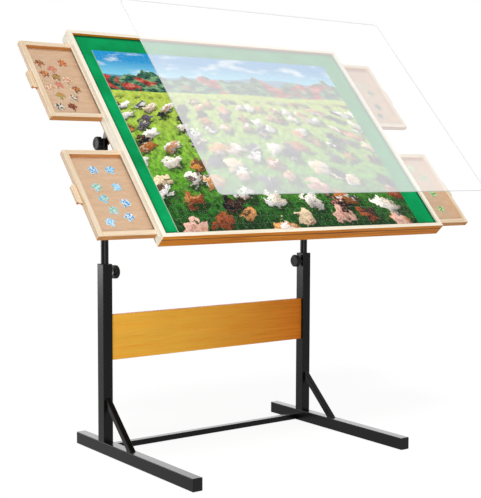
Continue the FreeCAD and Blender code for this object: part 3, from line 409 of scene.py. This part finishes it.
def felt_sheet(columns=181, rows=137, sunk=0.06 * MM, swell=0.04 * MM, flat_border=20 * MM):
    """A grid over the node's top face; its height is a sum of sines that dies at the edges.

    The sheet is sunk by about the height of its swell, which keeps it at the node's own face.
    """
    low, high = table_box("felt_surface")
    across, up = np.meshgrid(np.linspace(low[0], high[0], columns),
                             np.linspace(low[1], high[1], rows))
    edge = np.minimum.reduce([across - low[0], high[0] - across, up - low[1], high[1] - up])
    # The factors are radians per metre: swells of 10 by 13 cm, crossed by one of 3 cm.
    ripple = np.sin(across * 61) * np.sin(up * 47 + 1) + 0.6 * np.sin(across * 133 + up * 171)
    height = high[2] - sunk + swell * ripple * np.clip(edge / flat_border, 0, 1)
    corner = (np.arange(rows - 1)[:, None] * columns + np.arange(columns - 1)).ravel()
    faces = np.stack([corner, corner + 1, corner + columns + 1, corner + columns], axis=1)
    made = piece("felt_sheet", on_table(across, up, height), faces.tolist(), [wool_felt()],
                 smooth=True)
    paint_uv(made, np.stack([edge.ravel(), across.ravel()], axis=1))
    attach(made, "tabletop")
    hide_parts("felt_surface")


felt_sheet()

# %% [markdown]
# The picture on the jigsaw is a made-up meadow: sky, hills, a wood in autumn and a lawn full of
# shrubs and boulders. It is drawn by nodes over the sheet's own plan, u across and t up, both
# from 0 to 1. Each layer of the landscape covers all below a wavy line: a noise read along u
# only, because its blotches are endless along t.

# %% Layers of a landscape
# Each line: its lowest height, how far it can rise from there and how long its waves are, all
# as shares of the sheet.
HILLS_LINE = (0.80, 0.12, 0.42)
WOOD_LINE = (0.74, 0.24, 0.11)
LAWN_LINE = (0.74, 0.05, 0.33)
ENDLESS = 1e6


def landscape(tree, plan, t):
    """Sky, hills, wood and lawn, each laid over the one behind it, with sizes as shares of the sheet."""
    clouds = blotches(tree, plan, (0.16, 0.075, 1), 6.0, roughness=0.6)
    clouds = add(tree, "ValToRGB", (clouds,), stops=[(0.53, 0.0), (0.68, 0.9)])
    sky = add(tree, "ValToRGB", (t,), stops=[(0.84, "#8EDCF0"), (0.95, "#1C92CE")])
    picture = add(tree, "Mix", {"Factor": clouds, "A": sky, "B": linear("#F4F8FA")}, **OF_COLOURS)
    leaves = blotches(tree, plan, (0.040, 0.030, 1), 6.0, roughness=0.7)
    green = add(tree, "ValToRGB", (leaves,),
                stops=[(0.38, "#04202A"), (0.50, "#23614A"), (0.62, "#8DB880")])
    russet = add(tree, "ValToRGB", (leaves,),
                 stops=[(0.36, "#4A0F12"), (0.52, "#B3382E"), (0.66, "#E08A70")])
    autumn = add(tree, "MapRange", (blotches(tree, plan, (0.12, 0.12, 1), 4.0, 1.5), 0.54, 0.57))
    crowns = add(tree, "Mix", {"Factor": autumn, "A": green, "B": russet}, **OF_COLOURS)
    depth = add(tree, "ValToRGB", (t,),
                stops=[(0.0, "#123C16"), (0.14, "#25601A"), (0.30, "#62A02A"), (0.48, "#8CB63C"),
                       (0.74, "#B8CC50")])
    contrast = add(tree, "MapRange", (t, 0.0, 0.7, 8.0, 2.4))
    tufts = blotches(tree, plan, (0.018, 0.030, 1), 8.0, roughness=0.75)
    tufts = add(tree, "Math", (tufts, 0.5), operation="SUBTRACT")
    tufts = add(tree, "Math", (tufts, contrast, 1.0), operation="MULTIPLY_ADD")
    grass = add(tree, "VectorMath", {0: depth, "Scale": tufts}, operation="SCALE")
    for (lowest, rise, length), ink in ((HILLS_LINE, linear("#5E92B0")), (WOOD_LINE, crowns),
                                        (LAWN_LINE, grass)):
        line = blotches(tree, plan, (length, ENDLESS, 1), 3.0)
        line = add(tree, "Math", (line, rise, lowest), operation="MULTIPLY_ADD")
        below = add(tree, "Math", (t, line), operation="LESS_THAN")
        picture = add(tree, "Mix", {"Factor": below, "A": picture, "B": ink}, **OF_COLOURS)
    return picture


print("the lines' lowest heights:", [line[0] for line in (HILLS_LINE, WOOD_LINE, LAWN_LINE)])

# %% [markdown]
# A meadow looks deep when its motifs shrink towards the horizon. Shrubs and boulders sit in
# Voronoi cells, which are laid out on u/d and log d, with d the drop below a far horizon: that
# keeps their shape and makes them smaller with d. A small noise frays their outlines.

# %% A plan of cells
CELLS_ACROSS = 9.5
CELLS_DEEP = 0.9 * CELLS_ACROSS
HORIZON = 1.2


def cell_plan(tree, u, t):
    """Places in cells: (u - 1/2) / d and log d, each times its number of cells, then frayed."""
    drop = add(tree, "Math", (HORIZON, t), operation="SUBTRACT")
    sideways = add(tree, "Math", (u, 0.5), operation="SUBTRACT")
    sideways = add(tree, "Math", (sideways, drop), operation="DIVIDE")
    sideways = add(tree, "Math", (sideways, CELLS_ACROSS), operation="MULTIPLY")
    depth = add(tree, "Math", (drop, math.e), operation="LOGARITHM")
    depth = add(tree, "Math", (depth, CELLS_DEEP), operation="MULTIPLY")
    place = add(tree, "CombineXYZ", (sideways, depth))
    fray = blotches(tree, place, (0.34, 0.34, 1), 3.0, roughness=0.6).node.outputs["Color"]
    fray = add(tree, "VectorMath", (fray, (0.5, 0.5, 0.5)), operation="SUBTRACT")
    return add(tree, "VectorMath", (fray, (1.25, 1.0, 0), place), operation="MULTIPLY_ADD")


print("cells across the near edge:", round(CELLS_ACROSS / HORIZON, 1))

# %% [markdown]
# Each shrub or boulder gets a main ink and patches of a second one, both picked by its cell's
# random numbers. Its far left is lit and its near right shaded, which rounds it, and a fine
# noise gives it leaves or grit.

# %% Inks of a clump
COATS = ("#F2EEE6", "#B0662C", "#F0D6B0", "#1C1622", "#DC9C5E", "#F6F2EC", "#5E5868",
         "#984C28", "#EAB8A6", "#F2EADF", "#2C1C2C", "#DC9448", "#F2E8DC", "#121016")
MARKS = ("#F7F2EA", "#4A2C20", "#CC8C50", "#F2E2CA", "#1E1A22", "#C07868", "#FAF8F4")


def clump_inks(tree, place, cell, numbers):
    """Main ink with patches of half a cell, times a light that falls from far left to near right."""
    marks = blotches(tree, place, (0.45, 0.45, 1), 4.0)
    marks = add(tree, "MapRange", (marks, 0.52, 0.56, 0.0, 0.9))
    coat = add(tree, "ValToRGB", (numbers[0],), steps=COATS)
    mark = add(tree, "ValToRGB", (numbers[2],), steps=MARKS)
    ink = add(tree, "Mix", {"Factor": marks, "A": coat, "B": mark}, **OF_COLOURS)
    offset = add(tree, "VectorMath", (place, cell["Position"]), operation="SUBTRACT")
    near = add(tree, "VectorMath", (offset, (0.45, 0.9, 0)), out="Value", operation="DOT_PRODUCT")
    light = add(tree, "MapRange", (near, -0.28, 0.36, 1.22, 0.22))
    leaves = add(tree, "MapRange", (blotches(tree, place, (0.08, 0.08, 1), 3.0), 0.3, 0.7, 0.5, 1.5))
    light = add(tree, "Math", (light, leaves), operation="MULTIPLY")
    return add(tree, "VectorMath", {0: ink, "Scale": light}, operation="SCALE")


print("a clump has one of", len(COATS), "main inks and one of", len(MARKS), "for its patches")

# %% [markdown]
# All is put together on one card material: the landscape, then shadows on the grass, then the
# clumps. A shadow is its clump's cell drawn again a little lower and to the right, because each
# point reads the plan above and left of it. Clumps and shadows fade out just under the wood,
# where the lawn ends.

# %% The printed card
def printed_meadow():
    """Offset print on coated card: flat inks with hardly any gloss."""
    material, tree, shader = new_material("printed_jigsaw_card", Roughness=0.5, Specular_IOR_Level=0.12)
    plan = add(tree, "UVMap", uv_map="plan")
    split = add(tree, "SeparateXYZ", (plan,)).node.outputs
    u, t = split["X"], split["Y"]
    picture = landscape(tree, plan, t)
    lawn = add(tree, "MapRange", (t, LAWN_LINE[0], LAWN_LINE[0] - 0.02))
    place = cell_plan(tree, u, t)
    above_left = add(tree, "VectorMath", (place, (-0.10, -0.16, 0)), operation="ADD")
    cell, shadow = [add(tree, "TexVoronoi", {"Vector": where, "Scale": 1.0, "Randomness": 0.75},
                        voronoi_dimensions="2D").node.outputs for where in (place, above_left)]
    shade = add(tree, "MapRange", (shadow["Distance"], 0.48, 0.30, 0.0, 0.92))
    shade = add(tree, "Math", (shade, lawn), operation="MULTIPLY")
    picture = add(tree, "Mix", {"Factor": shade, "A": picture, "B": linear("#0E2E0C")}, **OF_COLOURS)
    numbers = add(tree, "SeparateXYZ", (cell["Color"],)).node.outputs
    size = add(tree, "MapRange", (numbers[1], 0.0, 1.0, 0.30, 0.43))
    inside = add(tree, "Math", (size, cell["Distance"]), operation="SUBTRACT")
    inside = add(tree, "MapRange", (inside, 0.0, 0.04))
    inside = add(tree, "Math", (inside, lawn), operation="MULTIPLY")
    clumps = clump_inks(tree, place, cell, numbers)
    picture = add(tree, "Mix", {"Factor": inside, "A": picture, "B": clumps}, **OF_COLOURS)
    wire(tree, shader, Base_Color=picture)
    return material


def grey_board():
    """The pressed paper pulp inside a jigsaw piece, seen on its cut edge."""
    material, tree, shader = new_material("jigsaw_grey_board", Roughness=0.85)
    pulp = blotches(tree, add(tree, "TexCoord", out="Object"), [0.8 * MM] * 3, detail=3.0)
    tone = add(tree, "ValToRGB", (pulp,), stops=[(0.35, "#C9C6BA"), (0.65, "#DEDCD2")])
    wire(tree, shader, Base_Color=tone)
    return material


card_edge = grey_board()
meadow = printed_meadow()
print("the meadow is printed with", len(meadow.node_tree.nodes), "nodes")

# %% [markdown]
# A die cuts the printed card with blades that run right across it, so two neighbours share every
# cut. The cuts are worked out once, for all sides at the same time, and each piece's outline is
# then its four cuts one after the other. The border's cuts have no knob.

# %% One cut
# A knob as shares of its side's length: how far along, and how far out.
KNOB = np.array([(0, 0), (0.42, 0.0), (0.375, 0.11), (0.425, 0.215), (0.5, 0.245),
                 (0.575, 0.215), (0.625, 0.11), (0.58, 0.0), (1, 0)])


def cuts(path, start, end, bulge, shift=0.0):
    """Cuts from start to end: start + along * run + out * (run turned to the right).

    Along and out are the path's two columns, out times the bulge, and along moved by the shift
    between the ends. Where the bulge is 0, along goes in even steps.
    """
    bulge, shift = np.broadcast_arrays(bulge, shift)
    has_knob = np.abs(bulge)[..., None] > 0
    between = np.where((path[:, 0] > 0) & (path[:, 0] < 1), 1.0, 0.0)
    along = np.where(has_knob, path[:, 0] + shift[..., None] * between, np.linspace(0, 1, len(path)))
    out = path[:, 1] * bulge[..., None]
    run = end - start
    side = np.stack([run[..., 1], -run[..., 0]], axis=-1)
    return (start[..., None, :] + along[..., None] * run[..., None, :]
            + out[..., None] * side[..., None, :])


def inset(outline, distance):
    """Each point moved inwards along the mean normal of the two sides that meet there."""
    before = outline - np.roll(outline, 1, axis=-2)
    after = np.roll(outline, -1, axis=-2) - outline
    tangent = before / np.linalg.norm(before, axis=-1, keepdims=True)
    tangent = tangent + after / np.linalg.norm(after, axis=-1, keepdims=True)
    tangent = tangent / np.linalg.norm(tangent, axis=-1, keepdims=True)
    return outline + distance * np.stack([-tangent[..., 1], tangent[..., 0]], axis=-1)


print("a cut has", len(KNOB), "points")

# %% [markdown]
# A piece of card is a prism: its outline raised through rings of points, closed by a lid and a
# foot. The rings' insets round or bevel its edges. The cover at the end is made the same way.

# %% Prisms
def prisms(outline, rings):
    """Points, lids, and feet with walls, from one ring of points for each (height, inset)."""
    count, corners = outline.shape[:2]
    layers = [np.concatenate([inset(outline, distance), np.full((count, corners, 1), height)], axis=-1)
              for height, distance in rings]
    base = np.arange(count)[:, None] * corners * len(rings)
    ring = np.arange(corners)
    lids = (base + (len(rings) - 1) * corners + ring).tolist()
    feet = (base + ring[::-1]).tolist()
    walls = []
    for level in range(len(rings) - 1):
        low = base + level * corners + ring
        low_next = base + level * corners + np.roll(ring, -1)
        wall = np.stack([low, low_next, low_next + corners, low + corners], axis=-1)
        walls += wall.reshape(-1, 4).tolist()
    return np.concatenate(layers, axis=1).reshape(-1, 3), lids, feet + walls


unit_square = np.array([[(0, 0), (1, 0), (1, 1), (0, 1)]], dtype=float)
print("a plain box has", len(prisms(unit_square, [(0, 0), (1, 0)])[0]), "points")

# %% [markdown]
# The finished part of the jigsaw is 36 by 28 pieces of about 20 mm. Blades wander, so corners
# and knobs are shifted a little by a seeded random draw. The top of each piece is 0.15 mm
# smaller all round than its foot: that leaves the fine V between pieces that the eye reads
# as the jigsaw's net.

# %% The jigsaw on the felt
WANDER = 1.0 * MM
KNOB_SHIFT = 0.06
CUT_BEVEL = 0.15 * MM


def knob_signs(rng, shape, border_axis):
    """Random signs and sizes of knobs, with none along the two borders."""
    signs = rng.choice([-1.0, 1.0], shape) * rng.uniform(0.9, 1.08, shape)
    if border_axis == 0:
        signs[[0, -1], :] = 0
    else:
        signs[:, [0, -1]] = 0
    return signs


def jigsaw_on_felt(columns=36, rows=28, seed=7):
    """All pieces in place: lattice corners, shared cuts, outlines, then prisms on the felt."""
    low, high = table_box("assembled_puzzle")
    rng = np.random.default_rng(seed)
    across, up = np.meshgrid(np.linspace(low[0], high[0], columns + 1),
                             np.linspace(low[1], high[1], rows + 1))
    corner = np.stack([across, up], axis=-1)
    corner[1:-1, 1:-1] += rng.uniform(-1.0, 1.0, corner[1:-1, 1:-1].shape) * WANDER
    level = cuts(KNOB, corner[:, :-1], corner[:, 1:], knob_signs(rng, (rows + 1, columns), 0),
                 rng.uniform(-KNOB_SHIFT, KNOB_SHIFT, (rows + 1, columns)))
    upright = cuts(KNOB, corner[:-1], corner[1:], knob_signs(rng, (rows, columns + 1), 1),
                   rng.uniform(-KNOB_SHIFT, KNOB_SHIFT, (rows, columns + 1)))
    outline = np.concatenate([level[:-1, :, :-1], upright[:, 1:, :-1], level[1:, :, :0:-1],
                              upright[:, :-1, :0:-1]], axis=-2)
    rings = [(low[2], 0), (high[2], CUT_BEVEL)]
    points, tops, sides = prisms(outline.reshape(rows * columns, -1, 2), rings)
    made = piece("assembled_jigsaw", on_table(*points.T), tops + sides, [meadow, card_edge],
                 [0] * len(tops) + [1] * len(sides))
    paint_uv(made, (points[:, :2] - low[:2]) / (high[:2] - low[:2]))
    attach(made, "tabletop")
    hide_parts("assembled_puzzle")
    print("jigsaw of", rows * columns, "pieces")


jigsaw_on_felt()

# %% [markdown]
# The loose pieces are sorted by colour: sky pieces in one drawer, brown and pink ones in the
# next. Each carries its own bit of some other picture: two inks in blotches, which come from
# the piece's number. The number is the whole part of the plan's first value, and the plan
# starts a little below it, so a strip at one side of a piece has its neighbour's inks, as
# where two things in a picture meet.

# %% Print of the loose pieces
def loose_print(name, first, second):
    """Printed card: a random colour from each number picks two inks, and noise parts them."""
    material, tree, shader = new_material(name, Roughness=0.45, Specular_IOR_Level=0.2)
    plan = add(tree, "UVMap", uv_map="plan")
    number = add(tree, "Math", (add(tree, "SeparateXYZ", (plan,)),), operation="FLOOR")
    dice = add(tree, "TexWhiteNoise", {"W": number}, "Color", noise_dimensions="1D")
    dice = add(tree, "SeparateXYZ", (dice,)).node.outputs
    where = add(tree, "MapRange", (blotches(tree, plan, (0.26, 0.26, 1), 4.0), 0.46, 0.55))
    inks = [add(tree, "ValToRGB", (dice[0],), steps=first),
            add(tree, "ValToRGB", (dice[1],), steps=second)]
    picture = add(tree, "Mix", {"Factor": where, "A": inks[0], "B": inks[1]}, **OF_COLOURS)
    wire(tree, shader, Base_Color=picture)
    return material


PRINTS = {
    "front_left": (("#5AAADC", "#74BAE6", "#4A98D0", "#84C2E6", "#86B67E"),
                   ("#DCE9F0", "#B9DAEC", "#C4DCB0")),
    "rear_left": (("#A8522C", "#C07868", "#2E3E3C", "#C8824A", "#6E4A34", "#B87880"),
                  ("#3A3230", "#E8D8C4", "#D88A50", "#9A9A58")),
    "front_right": (("#A8CC8A", "#8FBE72", "#C8DE9C"), ("#E2ECC8", "#5E9A58")),
    "rear_right": (("#98A890", "#A8A080", "#7E8C74"), ("#D8DCC8", "#6A6450")),
}
print("inks by drawer:", {drawer: len(first + second) for drawer, (first, second) in PRINTS.items()})

# %% [markdown]
# The loose pieces lie flat on the drawers' floors, strewn and turned as a hand leaves them. Each
# place is a distance in from the drawer's outer rail, a share of the drawer's depth and a turn.

# %% Where the loose pieces lie
# Millimetres inwards, percent of the depth, degrees.
SORTED = {
    "front_left": [(62, 82, 12), (106, 82, 70), (53, 59, 35), (102, 59, 8), (58, 44, 55),
                   (107, 38, 20), (70, 29, 80), (101, 20, 40), (49, 14, 65)],
    "rear_left": [(34, 76, 30), (95, 78, 5), (61, 68, 50), (35, 60, 15), (64, 56, 75),
                  (89, 52, 40), (60, 44, 10), (34, 40, 60), (101, 38, 25), (53, 28, 45),
                  (86, 25, 70), (38, 12, 20), (71, 12, 55)],
    "front_right": [(76, 84, 25), (51, 68, 60), (55, 43, 10), (61, 18, 40)],
    "rear_right": [(74, 69, 15), (50, 57, 50), (56, 32, 30), (68, 16, 65)],
}
print("loose pieces:", sum(len(places) for places in SORTED.values()))

# %% [markdown]
# A side of a loose piece is a round knob, pushed out on two sides and in on the other two. All
# the pieces of a drawer are one outline, raised to a prism with a soft upper edge and then
# turned and set down at each place.

# %% Loose pieces
PIECE_BODY = 20.0 * MM
PIECE_KNOB = 2.5 * MM
PIECE_THICK = 2.0 * MM
SOFT_EDGE = 0.4 * MM
DRAWER_RAIL = 13.0 * MM
# The print's plan starts this far to the left of a piece's middle, and as far below it.
PLAN_START = 8 * MM


def round_knob(radius, offset, steps=11):
    """A side of length 1 with a circle of this radius whose middle lies offset outside it."""
    foot = math.asin(offset / radius)
    turn = np.linspace(math.pi + foot, -foot, steps)
    circle = np.stack([0.5 + radius * np.cos(turn), offset + radius * np.sin(turn)], axis=1)
    return np.concatenate([[(0, 0)], circle, [(1, 0)]])


def loose_pieces(drawer):
    """Square outlines turned and set down at their places, with two knobs and two sockets."""
    low, high = table_box(drawer + "_drawer_floor")
    inward, share, turn = np.array(SORTED[drawer], dtype=float).T
    side = -1 if "left" in drawer else 1
    outer = max(side * low[0], side * high[0]) + DRAWER_RAIL
    depth = low[1] + (high[1] - low[1]) * share / 100
    middle = np.stack([side * (outer - inward * MM), depth], axis=-1)
    square = PIECE_BODY / 2 * np.array([(-1, -1), (1, -1), (1, 1), (-1, 1)])
    knob = round_knob(PIECE_KNOB / PIECE_BODY, 0.45 * PIECE_KNOB / PIECE_BODY)
    outline = cuts(knob, square, np.roll(square, -1, axis=0), np.array([-1.0, 1.0, 1.0, -1.0]))
    outline = outline[:, :-1].reshape(1, -1, 2)
    rings = [(0, 0), (PIECE_THICK - SOFT_EDGE, 0.05 * MM), (PIECE_THICK, 0.35 * MM)]
    shape, lid, wall = prisms(outline, rings)
    angle = np.radians(turn)[:, None]
    x = middle[:, :1] + shape[:, 0] * np.cos(angle) - shape[:, 1] * np.sin(angle)
    v = middle[:, 1:] + shape[:, 0] * np.sin(angle) + shape[:, 1] * np.cos(angle)
    w = np.broadcast_to(high[2] + shape[:, 2], x.shape)
    first = np.arange(len(turn)) * len(shape)
    tops = [[corner + start for corner in face] for start in first.tolist() for face in lid]
    sides = [[corner + start for corner in face] for start in first.tolist() for face in wall]
    made = piece(drawer + "_loose_jigsaw", on_table(x, v, w), tops + sides,
                 [loose_print(drawer + "_card", *PRINTS[drawer]), card_edge],
                 [0] * len(tops) + [1] * len(sides))
    plan = (shape[:, :2] + PLAN_START) / PIECE_BODY
    number = np.stack([np.arange(len(turn)), 0 * turn], axis=1)
    paint_uv(made, (plan[None] + number[:, None]).reshape(-1, 2))
    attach(made, drawer + "_drawer")
    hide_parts(drawer + "_loose_pieces")


for drawer in DRAWERS:
    loose_pieces(drawer)

# %% [markdown]
# The cover is a sheet of clear acrylic. Each of its faces mirrors a little of the white room,
# which makes the sheet look milky, so a face here is partly a white veil and partly see-through.
# Its edge is saw-cut and polished, and the last two millimetres of both faces belong to it:
# they hide more of what lies behind, and show as a fine grey line.

# %% Clear cover
def acrylic(name, colour, veil, roughness, glow):
    """Acrylic: a veil over what lies behind, a trace uneven, with a faint glow that is painted light."""
    # The white veil is painted reflection of the room; the emission is a painted glow.
    material, tree, shader = new_material(name, Roughness=roughness, Alpha=veil, IOR=1.49,
                                          Emission_Color=linear(colour), Emission_Strength=glow)
    haze = blotches(tree, add(tree, "TexCoord", out="Object"), [330 * MM] * 3)
    shade = add(tree, "MapRange", (haze, 0.0, 1.0, 0.985, 1.0))
    veil_tone = add(tree, "VectorMath", {0: linear(colour)[:3], "Scale": shade}, operation="SCALE")
    wire(tree, shader, Base_Color=veil_tone)
    return material


def cover_sheet(corner=12 * MM, ease=0.4 * MM, border=1.8 * MM, steps=12):
    """A rectangle with quarter circles for corners, raised through six rings.

    The rings run from the lower face's border, out round the eased edge, to the upper face's.
    """
    low, high = table_box("clear_cover")
    left, right = low[0] + corner, high[0] - corner
    near, far = low[1] + corner, high[1] - corner
    quarter = np.radians(np.linspace(0, 90, steps))
    arcs = []
    for turn, centre in enumerate([(right, far), (left, far), (left, near), (right, near)]):
        angle = quarter + turn * math.pi / 2
        arcs.append(np.array(centre) + corner * np.stack([np.cos(angle), np.sin(angle)], axis=-1))
    outline = np.concatenate(arcs)[None]
    rings = [(low[2], border), (low[2], ease), (low[2] + ease, 0),
             (high[2] - ease, 0), (high[2], ease), (high[2], border)]
    points, tops, sides = prisms(outline, rings)
    kinds = [0] * (len(tops) + 1) + [1] * (len(sides) - 1)
    made = piece("acrylic_cover", on_table(*points.T), tops + sides,
                 [acrylic("clear_acrylic_sheet", "#FFFFFF", 0.285, 0.12, 0.10),
                  acrylic("polished_acrylic_edge", "#D2D7D7", 0.55, 0.3, 0.0)], kinds)
    # A clear sheet takes next to no light from the table below.
    made.visible_shadow = False
    made.visible_diffuse = False
    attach(made, "cover")
    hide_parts("clear_cover")


cover_sheet()

# %% [markdown]
# A white studio: a wide, soft sun from the left front, a soft box low in front, and two boxes
# that only show as reflections, because satin black is told by what it mirrors. The world is
# white to the camera, to reflections and through glass, and a softer grey where it lights.

# %% Light
MIDDLE = Vector((0, -0.1, 0.6))


def lamp(name, kind, towards, distance=1.0, mirrored_only=False, **values):
    """A lamp that shines on the middle of the table from this direction."""
    light = bpy.data.lights.new(name, kind)
    for key, value in values.items():
        setattr(light, key, value)
    made = bpy.data.objects.new(name, light)
    bpy.context.scene.collection.objects.link(made)
    towards = Vector(towards).normalized()
    made.rotation_euler = towards.to_track_quat("Z", "Y").to_euler()
    made.location = MIDDLE + towards * distance
    made.visible_camera = False
    made.visible_diffuse = not mirrored_only


def straight_to_eye(tree):
    """1 for rays from the camera, a reflection or a glass, 0 for rays that light a matt surface."""
    rays = add(tree, "LightPath").node.outputs
    seen = add(tree, "Math", (rays["Is Camera Ray"], rays["Is Glossy Ray"]), operation="MAXIMUM")
    return add(tree, "Math", (seen, rays["Is Transmission Ray"]), operation="MAXIMUM")


def studio():
    """The world and four lamps."""
    world = bpy.data.worlds.new("white_studio")
    bpy.context.scene.world = world
    world.use_nodes = True
    tree = world.node_tree
    tree.nodes.clear()
    strength = add(tree, "MapRange", (straight_to_eye(tree), 0.0, 1.0, 0.42, 1.0))
    add(tree, "OutputWorld", (add(tree, "Background", ((1, 1, 1, 1), strength)),))
    lamp("window_light", "SUN", (-0.42, -0.45, 0.79), energy=1.45, angle=math.radians(12))
    lamp("front_soft_box", "AREA", (-1.4, -2.4, -0.1), 3.1, energy=44.0, size=1.6)
    lamp("left_mirror_box", "AREA", (-3.0, 4.2, 0.1), 5.0, True, energy=175.0, size=3.2)
    lamp("rear_mirror_box", "AREA", (3.0, 4.1, 1.4), 5.0, True, energy=70.0, size=3.6)
    print("lamps:", [light.name for light in bpy.data.lights])


studio()

# %% [markdown]
# The floor is a pale disc. The camera sees mostly its own white glow, so that it melts into the
# background, with a share of plain matt white that keeps the table's shadow.

# %% Floor
def floor(radius=12.0, below=0.5 * MM, sides=96, glow_share=0.88, glow_strength=1.04):
    """A disc just under the feet: glowing white and matt white for the eye, matt grey for light."""
    ring = np.linspace(0, 2 * math.pi, sides, endpoint=False)
    height = np.full(sides, -below)
    points = np.stack([radius * np.cos(ring), radius * np.sin(ring), height], axis=1)
    material, tree, shader = new_material("pale_floor", Base_Color=(1, 1, 1, 1), Roughness=1.0,
                                          Specular_IOR_Level=0.0)
    glow = add(tree, "Emission", ((1, 1, 1, 1), glow_strength))
    bright = add(tree, "MixShader", (glow_share, shader.outputs[0], glow))
    plain = add(tree, "BsdfDiffuse", ((0.5, 0.5, 0.5, 1),))
    both = add(tree, "MixShader", (straight_to_eye(tree), plain, bright))
    tree.links.new(both, tree.nodes["Material Output"].inputs["Surface"])
    piece("pale_floor", points, [list(range(sides))], [material])


floor()

# %% [markdown]
# The camera stands to the left front, as high as a table, and looks slightly down through a long
# lens, which keeps the posts upright and nearly parallel. Its axes come from a turn about the
# vertical, a dip and a trace of roll.

# %% Camera
CAMERA_PLACE = (-1.7264, -2.5220, 0.7417)
CAMERA_DEGREES = {"turn": 36.2, "dip": 4.3, "roll": 0.2}
LENS_MM = 81.0
SENSOR_MM = 36


def camera():
    """Forward from turn and dip; right and up are square to it, rolled by a trace."""
    turn, dip, roll = [math.radians(CAMERA_DEGREES[name]) for name in ("turn", "dip", "roll")]
    forward = np.array([math.sin(turn) * math.cos(dip), math.cos(turn) * math.cos(dip), -math.sin(dip)])
    level = np.array([math.cos(turn), -math.sin(turn), 0.0])
    up = np.cross(level, forward)
    right = level * math.cos(roll) + up * math.sin(roll)
    up = np.cross(right, forward)
    lens = bpy.data.cameras.new("portrait")
    lens.sensor_fit = "VERTICAL"
    lens.sensor_height = SENSOR_MM
    lens.lens = LENS_MM
    view = bpy.data.objects.new("portrait", lens)
    stand = np.eye(4)
    stand[:3, :3] = np.stack([right, up, -forward], axis=1)
    stand[:3, 3] = CAMERA_PLACE
    view.matrix_world = Matrix(stand.tolist())
    bpy.context.scene.collection.objects.link(view)
    bpy.context.scene.camera = view


camera()
bpy.context.scene.view_settings.view_transform = "Standard"
print("camera at", [round(metres, 2) for metres in CAMERA_PLACE], "with a lens of", LENS_MM, "mm")
